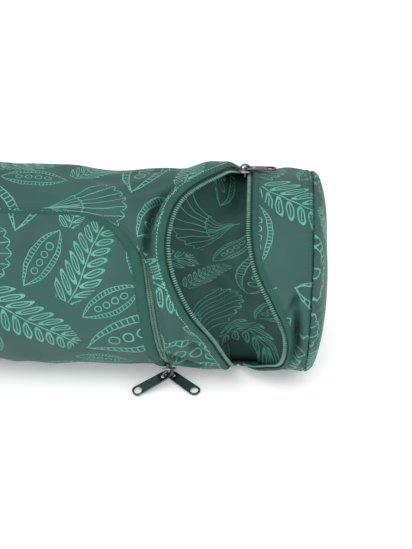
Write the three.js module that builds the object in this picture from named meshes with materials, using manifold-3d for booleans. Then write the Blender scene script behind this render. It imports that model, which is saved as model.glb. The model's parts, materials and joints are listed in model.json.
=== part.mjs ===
// A yoga mat bag lying on its side: a round printed cloth tube with a domed disc at each end,
// a long zipped flap for the mat and an open zipped pocket at the right-hand end.
// Millimetres, +Z up, +X along the bag towards the pocket, -Y towards the viewer.
// A place on the cloth is given by x along the bag and by an angle round it, in degrees:
// 0 faces -Y, 90 is the top and -90 is the underside.

import * as THREE from 'three';
import { mergeVertices } from 'three/addons/utils/BufferGeometryUtils.js';
import Module from 'manifold-3d';

const wasm = await Module();
wasm.setup();

// Body
const BODY_LENGTH = 650;        // between the two end seams
const END_RADIUS = 80;
const WALL = 2;                 // cloth thickness
const FLOOR_FLAT = 3;           // how far the underside is pressed flat
const DOME_RISE = 14;           // how far an end disc stands out past its seam
const GAP = 0.3;                // between pieces that touch
const ABOVE = 0.6;              // room over curved cloth for what lies on it
const BELOW = 1.6;              // room under curved cloth for what is sewn beneath it

// Flap over the mat compartment
const FLAP_LEFT_MARGIN = 110;   // from the left end to where the top edge's left corner starts
const FLAP_TO_POCKET = 123;     // from where its right corner starts to the pocket zip
const FLAP_TOP_ANGLE = 63;
const FLAP_HINGE_ANGLE = -70;
const FLAP_CORNER = 50;
const FLAP_SLANT = 8;           // lean of the end edges, degrees
const CHANNEL = 8;              // width of the open channel beside the flap's end edges
const WELT_WIDTH = 7.5;
const WELT_THICK = 1.7;
const COIL_WIDTH = 2.6;
const COIL_THICK = 1.8;
const TAPE_THICK = 1.2;
const FLAP_TAPE_WIDTH = 6;

// Pocket
const END_PANEL_LENGTH = 52;    // from the pocket zip to the right end seam
const ZIP_HALF = 7.4;           // half the width of the closed pocket zip
const MOUTH_TOP_ANGLE = 112;
const MOUTH_LOW_ANGLE = -62;
const GAPE_LEFT = 51;
const GAPE_RIGHT = 31;
const LIP_TAPE_OUT = 4.2;       // how far the tape reaches past the cloth edge
const LIP_TAPE_IN = 3;          // how far it runs under the cloth
const POCKET_DEPTH = 40;
const POCKET_MARGIN = 9;        // how far the inner panel runs past the mouth
const HOOD_REACH = 30;          // how far the folded-back hood's form runs from the lip at the top
const HOOD_RISE = 7;
const HOOD_VALLEY = 5;          // depth of the valley at the hood's outer side

// Zip heads
const PULL_LENGTH = 31;
const POCKET_PULL_LENGTH = 24;
const PULL_WIDTH = 9;
const PULL_THICK = 1.6;
const PULL_RIM = 1.3;
const EYE_BAR = 2;
const ARCH_INNER = 2.6;
const ARCH_THICK = 1.5;
const ARCH_WIDTH = 2.2;
const SLIDER_LENGTH = 11;
const SLIDER_WIDTH = 8;
const SLIDER_THICK = 1.6;
const SWING_CLEAR = 0.3;        // under the turning eye of a pull that lies along its slider
const LEAN_CLEAR = 1.8;         // under the eye of a pull that leans across its slider
const UPPER_SLIDER_ANGLE = -50;
const POCKET_SLIDER_ANGLE = 106;

const END_X = BODY_LENGTH / 2;
const POCKET_SEAM = END_X - END_PANEL_LENGTH;
const FLAP_RIGHT = POCKET_SEAM - FLAP_TO_POCKET;
const FLAP_LEFT = FLAP_LEFT_MARGIN - END_X;
const FLOOR_Z = END_RADIUS - FLOOR_FLAT;
const DEG = Math.PI / 180;
const FULL_TURN = 360;
const AROUND = 38;

// Radius along the bag, as shares of half the body length and of the end radius
const SECTIONS = [
  { along: -1.0, radius: 1.0 },
  { along: -0.9, radius: 0.985 },
  { along: -0.5, radius: 0.975 },
  { along: 0.0, radius: 0.97 },
  { along: 0.5, radius: 0.968 },
  { along: 0.75, radius: 0.985 },
  { along: 0.92, radius: 1.0 },
  { along: 1.0, radius: 1.0 },
];

// Outline of the open pocket mouth, from its top end down, as shares of the mouth's arc and the two gapes
const MOUTH = [
  { down: 0.0, left: 0.0, right: 0.0 },
  { down: 0.09, left: 0.22, right: 0.0 },
  { down: 0.15, left: 0.53, right: 0.0 },
  { down: 0.24, left: 0.87, right: 0.0 },
  { down: 0.35, left: 1.0, right: 0.03 },
  { down: 0.45, left: 0.96, right: 0.2 },
  { down: 0.56, left: 0.76, right: 0.62 },
  { down: 0.66, left: 0.48, right: 0.94 },
  { down: 0.74, left: 0.28, right: 1.0 },
  { down: 0.83, left: 0.12, right: 0.86 },
  { down: 0.91, left: 0.03, right: 0.45 },
  { down: 1.0, left: 0.0, right: 0.0 },
];

// Dents and creases: place as a share of half the length and an angle, depth and size as shares of the radius
const DENTS = [
  { along: 0.545, angle: 110, depth: 0.055, length: 0.38, girth: 0.5 },
  { along: 0.735, angle: -12, depth: 0.06, length: 0.14, girth: 0.18 },
  { along: 0.97, angle: 4, depth: 0.045, length: 0.09, girth: 0.4 },
  { along: 0.3, angle: 22, depth: 0.02, length: 0.9, girth: 0.35 },
  { along: -0.35, angle: 100, depth: 0.03, length: 0.4, girth: 0.55 },
  { along: -0.6, angle: 10, depth: 0.025, length: 0.5, girth: 0.4 },
  { along: 0.1, angle: 170, depth: 0.035, length: 0.35, girth: 0.5 },
  { along: 0.75, angle: 170, depth: 0.03, length: 0.4, girth: 0.4 },
  { along: -0.78, angle: 75, depth: 0.025, length: 0.4, girth: 0.5 },
];

function smoothstep(from, to, value) {
  const t = Math.min(1, Math.max(0, (value - from) / (to - from)));
  return t * t * (3 - 2 * t);
}

// A smooth value between the rows of a table
function valueAt(table, place, column, at) {
  const last = table.length - 1;
  let i = 0;
  while (i < last - 1 && at > table[i + 1][place]) i += 1;
  const slope = (k) => {
    const before = table[Math.max(0, k - 1)];
    const after = table[Math.min(last, k + 1)];
    return (after[column] - before[column]) / (after[place] - before[place]);
  };
  const width = table[i + 1][place] - table[i][place];
  const t = Math.min(1, Math.max(0, (at - table[i][place]) / width));
  const start = table[i][column];
  const end = table[i + 1][column];
  const bend = t * (1 - t) * width;
  const straight = start + (end - start) * t * t * (3 - 2 * t);
  return straight + bend * ((1 - t) * slope(i) - t * slope(i + 1));
}

// Share of the way down the mouth at an angle, held at 0 and 1 past its ends
function mouthShare(angle) {
  const share = (MOUTH_TOP_ANGLE - angle) / (MOUTH_TOP_ANGLE - MOUTH_LOW_ANGLE);
  return Math.min(1, Math.max(0, share));
}

function leftLip(angle) {
  return POCKET_SEAM - ZIP_HALF - GAPE_LEFT * valueAt(MOUTH, 'down', 'left', mouthShare(angle));
}

function rightLip(angle) {
  return POCKET_SEAM + ZIP_HALF + GAPE_RIGHT * valueAt(MOUTH, 'down', 'right', mouthShare(angle));
}

// Angle brought to between -180 and 180
function wrapped(angle) {
  return ((angle + FULL_TURN * 1.5) % FULL_TURN) - FULL_TURN / 2;
}

// Angles between which the hood widens, and between which its roll and its valley rise and die away
const HOOD_WIDENS = { from: 55, to: 115 };
const ROLL_SPAN = { from: 20, full: 55, until: 112, to: 150 };
const VALLEY_SPAN = { from: 48, full: 62, until: 75, to: 105 };
const VALLEY_PLACE = -0.85;     // as a share of the hood's reach
const VALLEY_HALF_WIDTH = 0.22;

function within(span, angle) {
  return smoothstep(span.from, span.full, angle) * (1 - smoothstep(span.until, span.to, angle));
}

// The hood is narrower lower down
function hoodReach(angle) {
  return HOOD_REACH * (0.5 + 0.5 * smoothstep(HOOD_WIDENS.from, HOOD_WIDENS.to, angle));
}

// The folded-back hood beside the left lip, with the valley at its outer side
function hoodForm(x, angle) {
  const share = (x - leftLip(angle)) / hoodReach(angle);
  const roll = smoothstep(-0.7, -0.35, share);
  const fade = 1 - smoothstep(POCKET_SEAM - 2 * ZIP_HALF, POCKET_SEAM, x);
  const valley = Math.exp(-(((share - VALLEY_PLACE) / VALLEY_HALF_WIDTH) ** 2));
  return HOOD_RISE * roll * within(ROLL_SPAN, angle) * fade - HOOD_VALLEY * valley * within(VALLEY_SPAN, angle);
}

function radiusAt(x, angle) {
  let radius = END_RADIUS * valueAt(SECTIONS, 'along', 'radius', x / END_X);
  for (const dent of DENTS) {
    const along = (x / END_X - dent.along) * END_X / (dent.length * END_RADIUS);
    const girth = wrapped(angle - dent.angle) * DEG / dent.girth;
    radius -= END_RADIUS * dent.depth * Math.exp(-(along * along + girth * girth));
  }
  return radius + hoodForm(x, wrapped(angle));
}

// A point lifted outward from the round form by so much
function roundPoint(x, angle, lift) {
  const radius = radiusAt(x, angle) + lift;
  return new THREE.Vector3(x, -radius * Math.cos(angle * DEG), radius * Math.sin(angle * DEG));
}

// The same on the cloth, which is pressed flat where it rests
function clothPoint(x, angle, lift) {
  const point = roundPoint(x, angle, lift);
  point.z = Math.max(-FLOOR_Z - Math.min(0, lift), point.z);
  return point;
}

// A closed wall between an outer and an inner grid of points
function wallBetween(outer, inner, joinsRound) {
  const rows = outer.length;
  const columns = outer[0].length;
  const positions = [...outer.flat(), ...inner.flat()].flatMap((p) => [p.x, p.y, p.z]);
  const far = rows * columns;
  const at = (i, j) => i * columns + (j % columns);
  const faces = [];
  const quad = (a, b, c, d) => faces.push(a, b, c, a, c, d);
  const strips = joinsRound ? columns : columns - 1;
  for (let i = 0; i < rows - 1; i += 1) {
    for (let j = 0; j < strips; j += 1) {
      quad(at(i, j), at(i, j + 1), at(i + 1, j + 1), at(i + 1, j));
      quad(far + at(i, j), far + at(i + 1, j), far + at(i + 1, j + 1), far + at(i, j + 1));
    }
    if (!joinsRound) {
      quad(at(i, 0), at(i + 1, 0), far + at(i + 1, 0), far + at(i, 0));
      quad(at(i + 1, columns - 1), at(i, columns - 1), far + at(i, columns - 1), far + at(i + 1, columns - 1));
    }
  }
  for (let j = 0; j < strips; j += 1) {
    quad(at(0, j + 1), at(0, j), far + at(0, j), far + at(0, j + 1));
    quad(at(rows - 1, j), at(rows - 1, j + 1), far + at(rows - 1, j + 1), far + at(rows - 1, j));
  }
  const geometry = new THREE.BufferGeometry();
  geometry.setAttribute('position', new THREE.Float32BufferAttribute(positions, 3));
  geometry.setIndex(faces);
  return facingOut(withoutEmptyFaces(geometry));
}

// A grid may end in a single point, so faces that have shrunk to nothing are dropped
function withoutEmptyFaces(geometry) {
  const merged = mergeVertices(geometry, 1e-4);
  const corners = Array.from(merged.getIndex().array);
  const kept = [];
  for (let i = 0; i < corners.length; i += 3) {
    const [a, b, c] = corners.slice(i, i + 3);
    if (a !== b && b !== c && c !== a) kept.push(a, b, c);
  }
  merged.setIndex(kept);
  return merged;
}

function signedVolume(geometry) {
  const position = geometry.getAttribute('position');
  const index = geometry.getIndex();
  const corners = [new THREE.Vector3(), new THREE.Vector3(), new THREE.Vector3()];
  let volume = 0;
  for (let i = 0; i < index.count; i += 3) {
    corners.forEach((corner, k) => corner.fromBufferAttribute(position, index.getX(i + k)));
    volume += corners[0].dot(corners[1].clone().cross(corners[2])) / 6;
  }
  return volume;
}

function facingOut(geometry) {
  if (signedVolume(geometry) < 0) {
    const index = geometry.getIndex();
    for (let i = 0; i < index.count; i += 3) {
      const second = index.getX(i + 1);
      index.setX(i + 1, index.getX(i + 2));
      index.setX(i + 2, second);
    }
  }
  geometry.computeVertexNormals();
  return geometry;
}

// Joins and cuts
function toSolid(geometry) {
  const bare = geometry.clone();
  bare.deleteAttribute('normal');
  bare.deleteAttribute('uv');
  const merged = mergeVertices(bare, 1e-4);
  const vertProperties = new Float32Array(merged.getAttribute('position').array);
  const triVerts = new Uint32Array(merged.getIndex().array);
  return new wasm.Manifold(new wasm.Mesh({ numProp: 3, vertProperties, triVerts }));
}

function toGeometry(solid) {
  const mesh = solid.getMesh();
  const geometry = new THREE.BufferGeometry();
  geometry.setAttribute('position', new THREE.BufferAttribute(new Float32Array(mesh.vertProperties), 3));
  geometry.setIndex(new THREE.BufferAttribute(new Uint32Array(mesh.triVerts), 1));
  geometry.computeVertexNormals();
  return geometry;
}

function cutAway(geometry, ...cutters) {
  return toGeometry(cutters.reduce((solid, cutter) => solid.subtract(toSolid(cutter)), toSolid(geometry)));
}

function joined(...geometries) {
  return toGeometry(geometries.map(toSolid).reduce((all, next) => all.add(next)));
}

// A piece of cloth on the bag: rows of places, each with the same number of columns
function clothPatch(places, outerLift, innerLift, joinsRound = false) {
  const raise = (lift) => places.map((row) => row.map(([x, angle]) => clothPoint(x, angle, lift)));
  return wallBetween(raise(outerLift), raise(innerLift), joinsRound);
}

// A block that cuts through the cloth, straight out from the bag's axis
function cutterOver(places) {
  const raise = (lift) => places.map((row) => row.map(([x, angle]) => roundPoint(x, angle, lift)));
  return wallBetween(raise(CUT_REACH), raise(-CUT_REACH), false);
}

// A grid of places whose rows run from one x to another at each angle
function placesAcross(angles, fromX, toX, columns) {
  return angles.map((angle) => spread(0, 1, columns).map((t) => {
    return [THREE.MathUtils.lerp(fromX(angle), toX(angle), t), angle];
  }));
}

function spread(from, to, steps) {
  return Array.from({ length: steps + 1 }, (_, i) => from + ((to - from) * i) / steps);
}

// A ribbon along a line on the cloth, from one offset to another to the line's outer side.
// The line's points hold x and the girth in mm; a width share narrows the ribbon along it.
function ribbon(line, from, to, lowLift, highLift, share = () => 1) {
  const places = line.map((point, i) => {
    const before = line[Math.max(0, i - 1)];
    const after = line[Math.min(line.length - 1, i + 1)];
    const normal = new THREE.Vector2(-(after.y - before.y), after.x - before.x).normalize();
    return [from, to].map((offset) => {
      const place = point.clone().addScaledVector(normal, offset * share(i / (line.length - 1)));
      return [place.x, place.y / END_RADIUS / DEG];
    });
  });
  return clothPatch(places, highLift, lowLift);
}

// Flap outline: the end edges lean, and the two upper corners are arcs
const FLAP_TOP = FLAP_TOP_ANGLE * DEG * END_RADIUS;
const FLAP_LOW = FLAP_HINGE_ANGLE * DEG * END_RADIUS;
const CORNER_Y = FLAP_TOP - FLAP_CORNER;
const CORNER_STEPS = 8;
const EDGE_STEPS = 11;
const FLAP_COLUMNS = 11;

// Offset outline of one end, from the hinge up to the top edge; side is 1 for the right end, -1 for the left
function flapEnd(side, offset) {
  const centre = new THREE.Vector2(side > 0 ? FLAP_RIGHT : FLAP_LEFT, CORNER_Y);
  const slant = FLAP_SLANT * DEG;
  const reach = FLAP_CORNER + offset(1);
  const cornerEnd = new THREE.Vector2(Math.cos(slant), Math.sin(slant)).multiplyScalar(reach);
  const edge = spread(0, 1, EDGE_STEPS).slice(0, -1).map((t) => {
    const y = THREE.MathUtils.lerp(FLAP_LOW, centre.y + cornerEnd.y, t);
    const fall = centre.y + cornerEnd.y - y;
    const wider = offset(t) - offset(1);
    return new THREE.Vector2(centre.x + side * (cornerEnd.x + fall * Math.tan(slant) + wider), y);
  });
  const corner = spread(slant, Math.PI / 2, CORNER_STEPS).map((turn, i) => {
    const radius = FLAP_CORNER + offset(1 + i / CORNER_STEPS);
    return new THREE.Vector2(centre.x + side * radius * Math.cos(turn), centre.y + radius * Math.sin(turn));
  });
  return [...edge, ...corner];
}

function flapPlaces(offset, columns) {
  const right = flapEnd(1, offset);
  const left = flapEnd(-1, offset);
  return right.map((point, i) => spread(left[i].x, point.x, columns).map((x) => {
    return [x, point.y / END_RADIUS / DEG];
  }));
}

// The channel beside an end edge closes over the zip along the corner
function channelOffset(t) {
  return GAP + (CHANNEL - GAP) * (1 - smoothstep(0.72, 1.45, t));
}

// Main cloth pieces
const ZIP_LIFT = -(WALL + BELOW);
const ROUND_ANGLES = spread(-180, 180, AROUND).slice(0, -1);
const BODY_ROWS = [0, 0.07, 0.17, 0.28, 0.39, 0.5, 0.6, 0.7, 0.79, 0.87, 0.94];
const LIP_ROWS = [-1.35, -1.1, -0.9, -0.7, -0.52, -0.35, -0.12, 0.15];
const END_ROWS = 6;
const SEAM_HALF_GAP = GAP / 2;

function bodyTube() {
  const rows = BODY_ROWS.map((t) => ROUND_ANGLES.map((angle) => {
    return [THREE.MathUtils.lerp(-END_X, leftLip(angle) + LIP_ROWS[0] * hoodReach(angle), t), angle];
  }));
  for (const share of LIP_ROWS) {
    rows.push(ROUND_ANGLES.map((angle) => [leftLip(angle) + share * hoodReach(angle), angle]));
  }
  rows.push(ROUND_ANGLES.map((angle) => [POCKET_SEAM - SEAM_HALF_GAP, angle]));
  return clothPatch(rows, 0, -WALL, true);
}

function endTube() {
  const rows = spread(POCKET_SEAM + SEAM_HALF_GAP, END_X, END_ROWS).map((x) => ROUND_ANGLES.map((angle) => [x, angle]));
  return clothPatch(rows, 0, -WALL, true);
}

const MOUTH_STEPS = 30;
const MOUTH_ANGLES = spread(MOUTH_TOP_ANGLE, MOUTH_LOW_ANGLE, MOUTH_STEPS);
const CUT_REACH = 20;           // how far a cutter runs to each side of the cloth

function mouthCutter() {
  return cutterOver(placesAcross(MOUTH_ANGLES, leftLip, rightLip, 2));
}

function flapCutter() {
  const places = flapPlaces(channelOffset, FLAP_COLUMNS);
  const below = places[0].map(([x, angle]) => [x, angle - GAP / END_RADIUS / DEG]);
  return cutterOver([below, ...places.slice(1)]);
}

// The domed end disc, with a rounder shoulder than middle; side is 1 or -1
const DOME_SHARES = [0.999, 0.95, 0.8, 0.45, 0];

function endCap(side) {
  const ring = (share, inset) => ROUND_ANGLES.map((angle) => {
    const rim = clothPoint(side * END_X, angle, 0);
    const scale = share * (1 - inset / END_RADIUS);
    const rise = DOME_RISE * Math.sqrt(1 - share ** 3);
    return new THREE.Vector3(side * (END_X + GAP + rise - inset), rim.y * scale, rim.z * scale);
  });
  const outer = DOME_SHARES.map((share) => ring(share, 0));
  const inner = DOME_SHARES.map((share) => ring(share, WALL));
  inner[0].forEach((p) => { p.x = side * (END_X + GAP); });
  return wallBetween(outer, inner, true);
}

const POCKET_ROWS = 18;
const POCKET_COLUMNS = 7;

// The inner panel hangs as a bowl behind the mouth. It is sewn to the cloth along its right and lower
// edges, and under the tapes along the others.
function pocketBack() {
  const top = MOUTH_TOP_ANGLE + POCKET_MARGIN / END_RADIUS / DEG;
  const low = MOUTH_LOW_ANGLE - POCKET_MARGIN / END_RADIUS / DEG;
  const rimLift = ZIP_LIFT - COIL_THICK - BELOW;
  const sewnLift = -(WALL + ABOVE);
  const angles = spread(top, low, POCKET_ROWS);
  const bowl = (t) => Math.max(0, Math.sin(Math.PI * t)) ** 0.55;
  const grid = (lift) => angles.map((angle, i) => {
    const from = leftLip(angle) - POCKET_MARGIN;
    const to = Math.min(rightLip(angle) + POCKET_MARGIN, END_X - WALL);
    return spread(from, to, POCKET_COLUMNS).map((x, j) => {
      const sag = bowl(i / POCKET_ROWS) * bowl(j / POCKET_COLUMNS);
      const sewn = i === POCKET_ROWS || j === POCKET_COLUMNS;
      const seat = sewn ? sewnLift : rimLift;
      return clothPoint(x, angle, seat + lift - sag * (POCKET_DEPTH + hoodForm(x, angle)));
    });
  });
  return wallBetween(grid(0), grid(-WALL), false);
}

// Zips
const TOP_ZIP_STEPS = 12;
const LIP_STEPS = 32;
const TAPERED_SHARE = 0.75;     // how much of the welt's width is lost along the top edge

function flapZipLine() {
  const right = flapEnd(1, () => 0);
  const left = flapEnd(-1, () => 0).reverse();
  const top = spread(FLAP_RIGHT, FLAP_LEFT, TOP_ZIP_STEPS).slice(1, -1).map((x) => new THREE.Vector2(x, FLAP_TOP));
  return [...right, ...top, ...left].reverse();
}

function weltLine(side) {
  const end = flapEnd(side, () => 0);
  const past = [0.2, 0.4].map((share) => {
    const x = (side > 0 ? FLAP_RIGHT : FLAP_LEFT) - side * share * FLAP_CORNER;
    return new THREE.Vector2(x, FLAP_TOP);
  });
  const line = [...end.slice(1), ...past];
  return side > 0 ? line.reverse() : line;
}

function flapWelt(side) {
  const taper = (t) => 1 - TAPERED_SHARE * smoothstep(0.55, 1, side > 0 ? 1 - t : t);
  return ribbon(weltLine(side), -WELT_WIDTH, -GAP, ABOVE, ABOVE + WELT_THICK, taper);
}

function lipLine(lip) {
  const shown = spread(MOUTH_TOP_ANGLE - 1, MOUTH_LOW_ANGLE + 1, LIP_STEPS);
  return shown.map((angle) => new THREE.Vector2(lip(angle), angle * DEG * END_RADIUS));
}

// Zip heads: a slider with an arch, and a pull that hinges on the arch
const ARCH_OUTER = ARCH_INNER + ARCH_THICK;

function roundedPath(Kind, x0, x1, halfWidth, corner) {
  const path = new Kind();
  path.moveTo(x0 + corner, -halfWidth);
  path.lineTo(x1 - corner, -halfWidth);
  path.absarc(x1 - corner, -halfWidth + corner, corner, -Math.PI / 2, 0, false);
  path.lineTo(x1, halfWidth - corner);
  path.absarc(x1 - corner, halfWidth - corner, corner, 0, Math.PI / 2, false);
  path.lineTo(x0 + corner, halfWidth);
  path.absarc(x0 + corner, halfWidth - corner, corner, Math.PI / 2, Math.PI, false);
  path.lineTo(x0, -halfWidth + corner);
  path.absarc(x0 + corner, -halfWidth + corner, corner, Math.PI, 1.5 * Math.PI, false);
  return path;
}

function plate(shape, thick, curveSegments = 3) {
  const geometry = new THREE.ExtrudeGeometry(shape, { depth: thick, bevelEnabled: false, curveSegments });
  geometry.translate(0, 0, -thick / 2);
  return geometry;
}

// The pull's window, between its eye and the round hole at its free end
function pullWindow(length) {
  return { from: ARCH_OUTER + 3 * PULL_RIM, to: length - PULL_WIDTH - PULL_RIM / 2 };
}

function pullFrame(length) {
  const half = PULL_WIDTH / 2;
  const shape = roundedPath(THREE.Shape, -EYE_BAR / 2, length, half, half * 0.8);
  const window = pullWindow(length);
  shape.holes.push(roundedPath(THREE.Path, EYE_BAR / 2, ARCH_OUTER + PULL_RIM, ARCH_WIDTH * 0.8, 0.8));
  shape.holes.push(roundedPath(THREE.Path, window.from, window.to, half - PULL_RIM, 0.8));
  const ringHole = new THREE.Path();
  ringHole.absarc(length - half, 0, half - PULL_RIM, 0, 2 * Math.PI, false);
  shape.holes.push(ringHole);
  return plate(shape, PULL_THICK);
}

function pullInsert(length) {
  const window = pullWindow(length);
  const half = PULL_WIDTH / 2 - PULL_RIM - GAP;
  return plate(roundedPath(THREE.Shape, window.from + GAP, window.to - GAP, half, 0.6), PULL_THICK + 0.4);
}

function arch(pivotHeight) {
  const foot = -(pivotHeight + SLIDER_THICK / 2);
  const shape = new THREE.Shape();
  shape.moveTo(-ARCH_OUTER, foot);
  shape.lineTo(-ARCH_INNER, foot);
  shape.lineTo(-ARCH_INNER, 0);
  shape.absarc(0, 0, ARCH_INNER, Math.PI, 0, true);
  shape.lineTo(ARCH_INNER, foot);
  shape.lineTo(ARCH_OUTER, foot);
  shape.lineTo(ARCH_OUTER, 0);
  shape.absarc(0, 0, ARCH_OUTER, 0, Math.PI, false);
  shape.lineTo(-ARCH_OUTER, foot);
  return plate(shape, ARCH_WIDTH, 6);
}

function basis(alongX, alongY, alongZ, origin) {
  return new THREE.Matrix4().makeBasis(alongX, alongY, alongZ).setPosition(origin);
}

// Places a zip head on the cloth: its pivot, its slider and the matrix that its pull takes
function zipHead({ place, zipLine, seatLift, keelLift, clear, lean }) {
  const [x, angle] = place;
  const pivotHeight = Math.hypot(EYE_BAR, PULL_THICK) / 2 + clear;
  const normal = new THREE.Vector3(0, -Math.cos(angle * DEG), Math.sin(angle * DEG));
  const seat = clothPoint(x, angle, seatLift);
  const pivot = seat.clone().addScaledVector(normal, SLIDER_THICK + pivotHeight);
  const pull = lean(pivot);
  const hinge = pull.up.clone().cross(pull.towards).normalize();
  const zip = zipLine.clone().addScaledVector(normal, -zipLine.dot(normal)).normalize();
  const across = normal.clone().cross(zip);
  const outline = roundedPath(THREE.Shape, -SLIDER_LENGTH / 2, SLIDER_LENGTH / 2, SLIDER_WIDTH / 2, 2.5);
  const top = plate(outline, SLIDER_THICK);
  top.applyMatrix4(basis(zip, across, normal, seat.clone().addScaledVector(normal, SLIDER_THICK / 2)));
  const keelHeight = seatLift - keelLift + SLIDER_THICK / 2;
  const keel = new THREE.BoxGeometry(SLIDER_LENGTH * 0.6, COIL_WIDTH * 0.7, keelHeight);
  keel.applyMatrix4(basis(zip, across, normal, clothPoint(x, angle, keelLift + keelHeight / 2)));
  const archUp = normal.clone().addScaledVector(hinge, -normal.dot(hinge)).normalize();
  const bridge = arch(pivotHeight);
  bridge.applyMatrix4(basis(archUp.clone().cross(hinge), archUp, hinge, pivot));
  const pullUp = pull.towards.clone().cross(hinge);
  return {
    slider: joined(top, keel, bridge),
    pullMatrix: basis(pull.towards, hinge, pullUp, pivot),
  };
}

// A pull whose tip rests on the floor by one edge: its direction in plan, and its roll about its own length
function lyingOnFloor(planAngle, roll, length) {
  return (pivot) => {
    const edge = PULL_WIDTH / 2 * Math.sin(Math.abs(roll) * DEG) + PULL_THICK / 2 * Math.cos(roll * DEG);
    const drop = pivot.z + FLOOR_Z - edge - GAP;
    const slope = -Math.asin(drop / length);
    const towards = new THREE.Vector3(
      Math.cos(slope) * Math.cos(planAngle * DEG),
      Math.cos(slope) * Math.sin(planAngle * DEG),
      Math.sin(slope),
    );
    return { towards, up: new THREE.Vector3(0, 0, 1).applyAxisAngle(towards, roll * DEG) };
  };
}

// Where a flap slider sits: on the coil, at an angle round the bag
function flapCoilX(angle) {
  const fall = CORNER_Y + FLAP_CORNER * Math.sin(FLAP_SLANT * DEG) - angle * DEG * END_RADIUS;
  return FLAP_RIGHT + FLAP_CORNER * Math.cos(FLAP_SLANT * DEG) + fall * Math.tan(FLAP_SLANT * DEG)
    + GAP + COIL_WIDTH / 2;
}

function flapHead(angle, planAngle, roll) {
  const slant = FLAP_SLANT * DEG;
  const down = new THREE.Vector3(
    Math.sin(slant),
    -Math.cos(slant) * Math.sin(angle * DEG),
    -Math.cos(slant) * Math.cos(angle * DEG),
  );
  return zipHead({
    place: [flapCoilX(angle), angle],
    zipLine: down,
    seatLift: ABOVE + WELT_THICK + GAP,
    keelLift: ZIP_LIFT + GAP,
    clear: LEAN_CLEAR,
    lean: lyingOnFloor(planAngle, roll, PULL_LENGTH),
  });
}

const SLIDER_STEP = (SLIDER_LENGTH + GAP) / (END_RADIUS + WELT_THICK) / DEG;
const LEFT_PULL_PLAN = -153;
const LEFT_PULL_ROLL = -10;
const RIGHT_PULL_PLAN = -40;
const RIGHT_PULL_ROLL = 8;
const leftHead = flapHead(UPPER_SLIDER_ANGLE, LEFT_PULL_PLAN, LEFT_PULL_ROLL);
const rightHead = flapHead(UPPER_SLIDER_ANGLE - SLIDER_STEP, RIGHT_PULL_PLAN, RIGHT_PULL_ROLL);

const pocketNormal = new THREE.Vector3(
  0,
  -Math.cos(POCKET_SLIDER_ANGLE * DEG),
  Math.sin(POCKET_SLIDER_ANGLE * DEG),
);
const pocketHead = zipHead({
  place: [POCKET_SEAM, POCKET_SLIDER_ANGLE],
  zipLine: new THREE.Vector3(0, Math.sin(POCKET_SLIDER_ANGLE * DEG), Math.cos(POCKET_SLIDER_ANGLE * DEG)),
  seatLift: GAP,
  keelLift: ZIP_LIFT + GAP,
  clear: SWING_CLEAR,
  lean: () => ({ towards: new THREE.Vector3(1, 0, 0), up: pocketNormal }),
});

// Materials
function finish(color, roughness, metalness = 0) {
  return new THREE.MeshStandardMaterial({ color, roughness, metalness });
}

const printedCloth = () => finish(0x4b6e6a, 0.85);
const innerCloth = () => finish(0x3a5a56, 0.9);
const plainTape = () => finish(0x2c4644, 0.8);
const coil = () => finish(0x4f7d70, 0.5);
const metal = () => finish(0x3b3f42, 0.35, 0.9);
const insertGreen = () => finish(0x23413a, 0.5);

const bag = new THREE.Group();

function addPiece(name, geometry, material, matrix) {
  const mesh = new THREE.Mesh(geometry, material);
  mesh.name = name;
  if (matrix) mesh.applyMatrix4(matrix);
  bag.add(mesh);
}

addPiece('body_shell', cutAway(bodyTube(), mouthCutter(), flapCutter()), printedCloth());
addPiece('end_panel', cutAway(endTube(), mouthCutter()), printedCloth());
addPiece('end_cap_right', endCap(1), printedCloth());
addPiece('end_cap_left', endCap(-1), printedCloth());
addPiece('flap_panel', clothPatch(flapPlaces(() => -GAP, FLAP_COLUMNS), 0, -WALL), printedCloth());
addPiece('flap_welt', flapWelt(1), plainTape());
addPiece('flap_welt_left', flapWelt(-1), plainTape());

const zipLine = flapZipLine();
addPiece('flap_zip_teeth', ribbon(zipLine, GAP, GAP + COIL_WIDTH, ZIP_LIFT - COIL_THICK, ZIP_LIFT), coil());
const tapeFrom = 2 * GAP + COIL_WIDTH;
addPiece(
  'flap_zip_tape',
  ribbon(zipLine, tapeFrom, tapeFrom + FLAP_TAPE_WIDTH, ZIP_LIFT - TAPE_THICK, ZIP_LIFT),
  plainTape(),
);

addPiece('pocket_back', pocketBack(), innerCloth());
for (const [side, lip, sign] of [['left', leftLip, 1], ['right', rightLip, -1]]) {
  const line = lipLine(lip);
  const edge = [-LIP_TAPE_IN, LIP_TAPE_OUT].map((offset) => sign * offset);
  const teeth = [LIP_TAPE_OUT + GAP, LIP_TAPE_OUT + GAP + COIL_WIDTH].map((offset) => sign * offset);
  addPiece(`pocket_tape_${side}`, ribbon(line, ...edge, ZIP_LIFT - TAPE_THICK, ZIP_LIFT), plainTape());
  addPiece(`pocket_teeth_${side}`, ribbon(line, ...teeth, ZIP_LIFT - COIL_THICK, ZIP_LIFT), coil());
}

const HEADS = [
  { name: 'flap', side: '_left', head: leftHead, length: PULL_LENGTH },
  { name: 'flap', side: '_right', head: rightHead, length: PULL_LENGTH },
  { name: 'pocket', side: '', head: pocketHead, length: POCKET_PULL_LENGTH },
];
for (const { name, side, head, length } of HEADS) {
  addPiece(`${name}_slider${side}`, head.slider, metal());
  addPiece(`${name}_pull${side}`, pullFrame(length), metal(), head.pullMatrix);
  addPiece(`${name}_pull${side}_insert`, pullInsert(length), insertGreen(), head.pullMatrix);
}

// The origin goes to the middle of the box's floor
const box = new THREE.Box3().setFromObject(bag);
const middle = box.getCenter(new THREE.Vector3());
bag.position.set(-middle.x, -middle.y, -box.min.z);

const group = new THREE.Group();
group.add(bag);

export default group;
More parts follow.
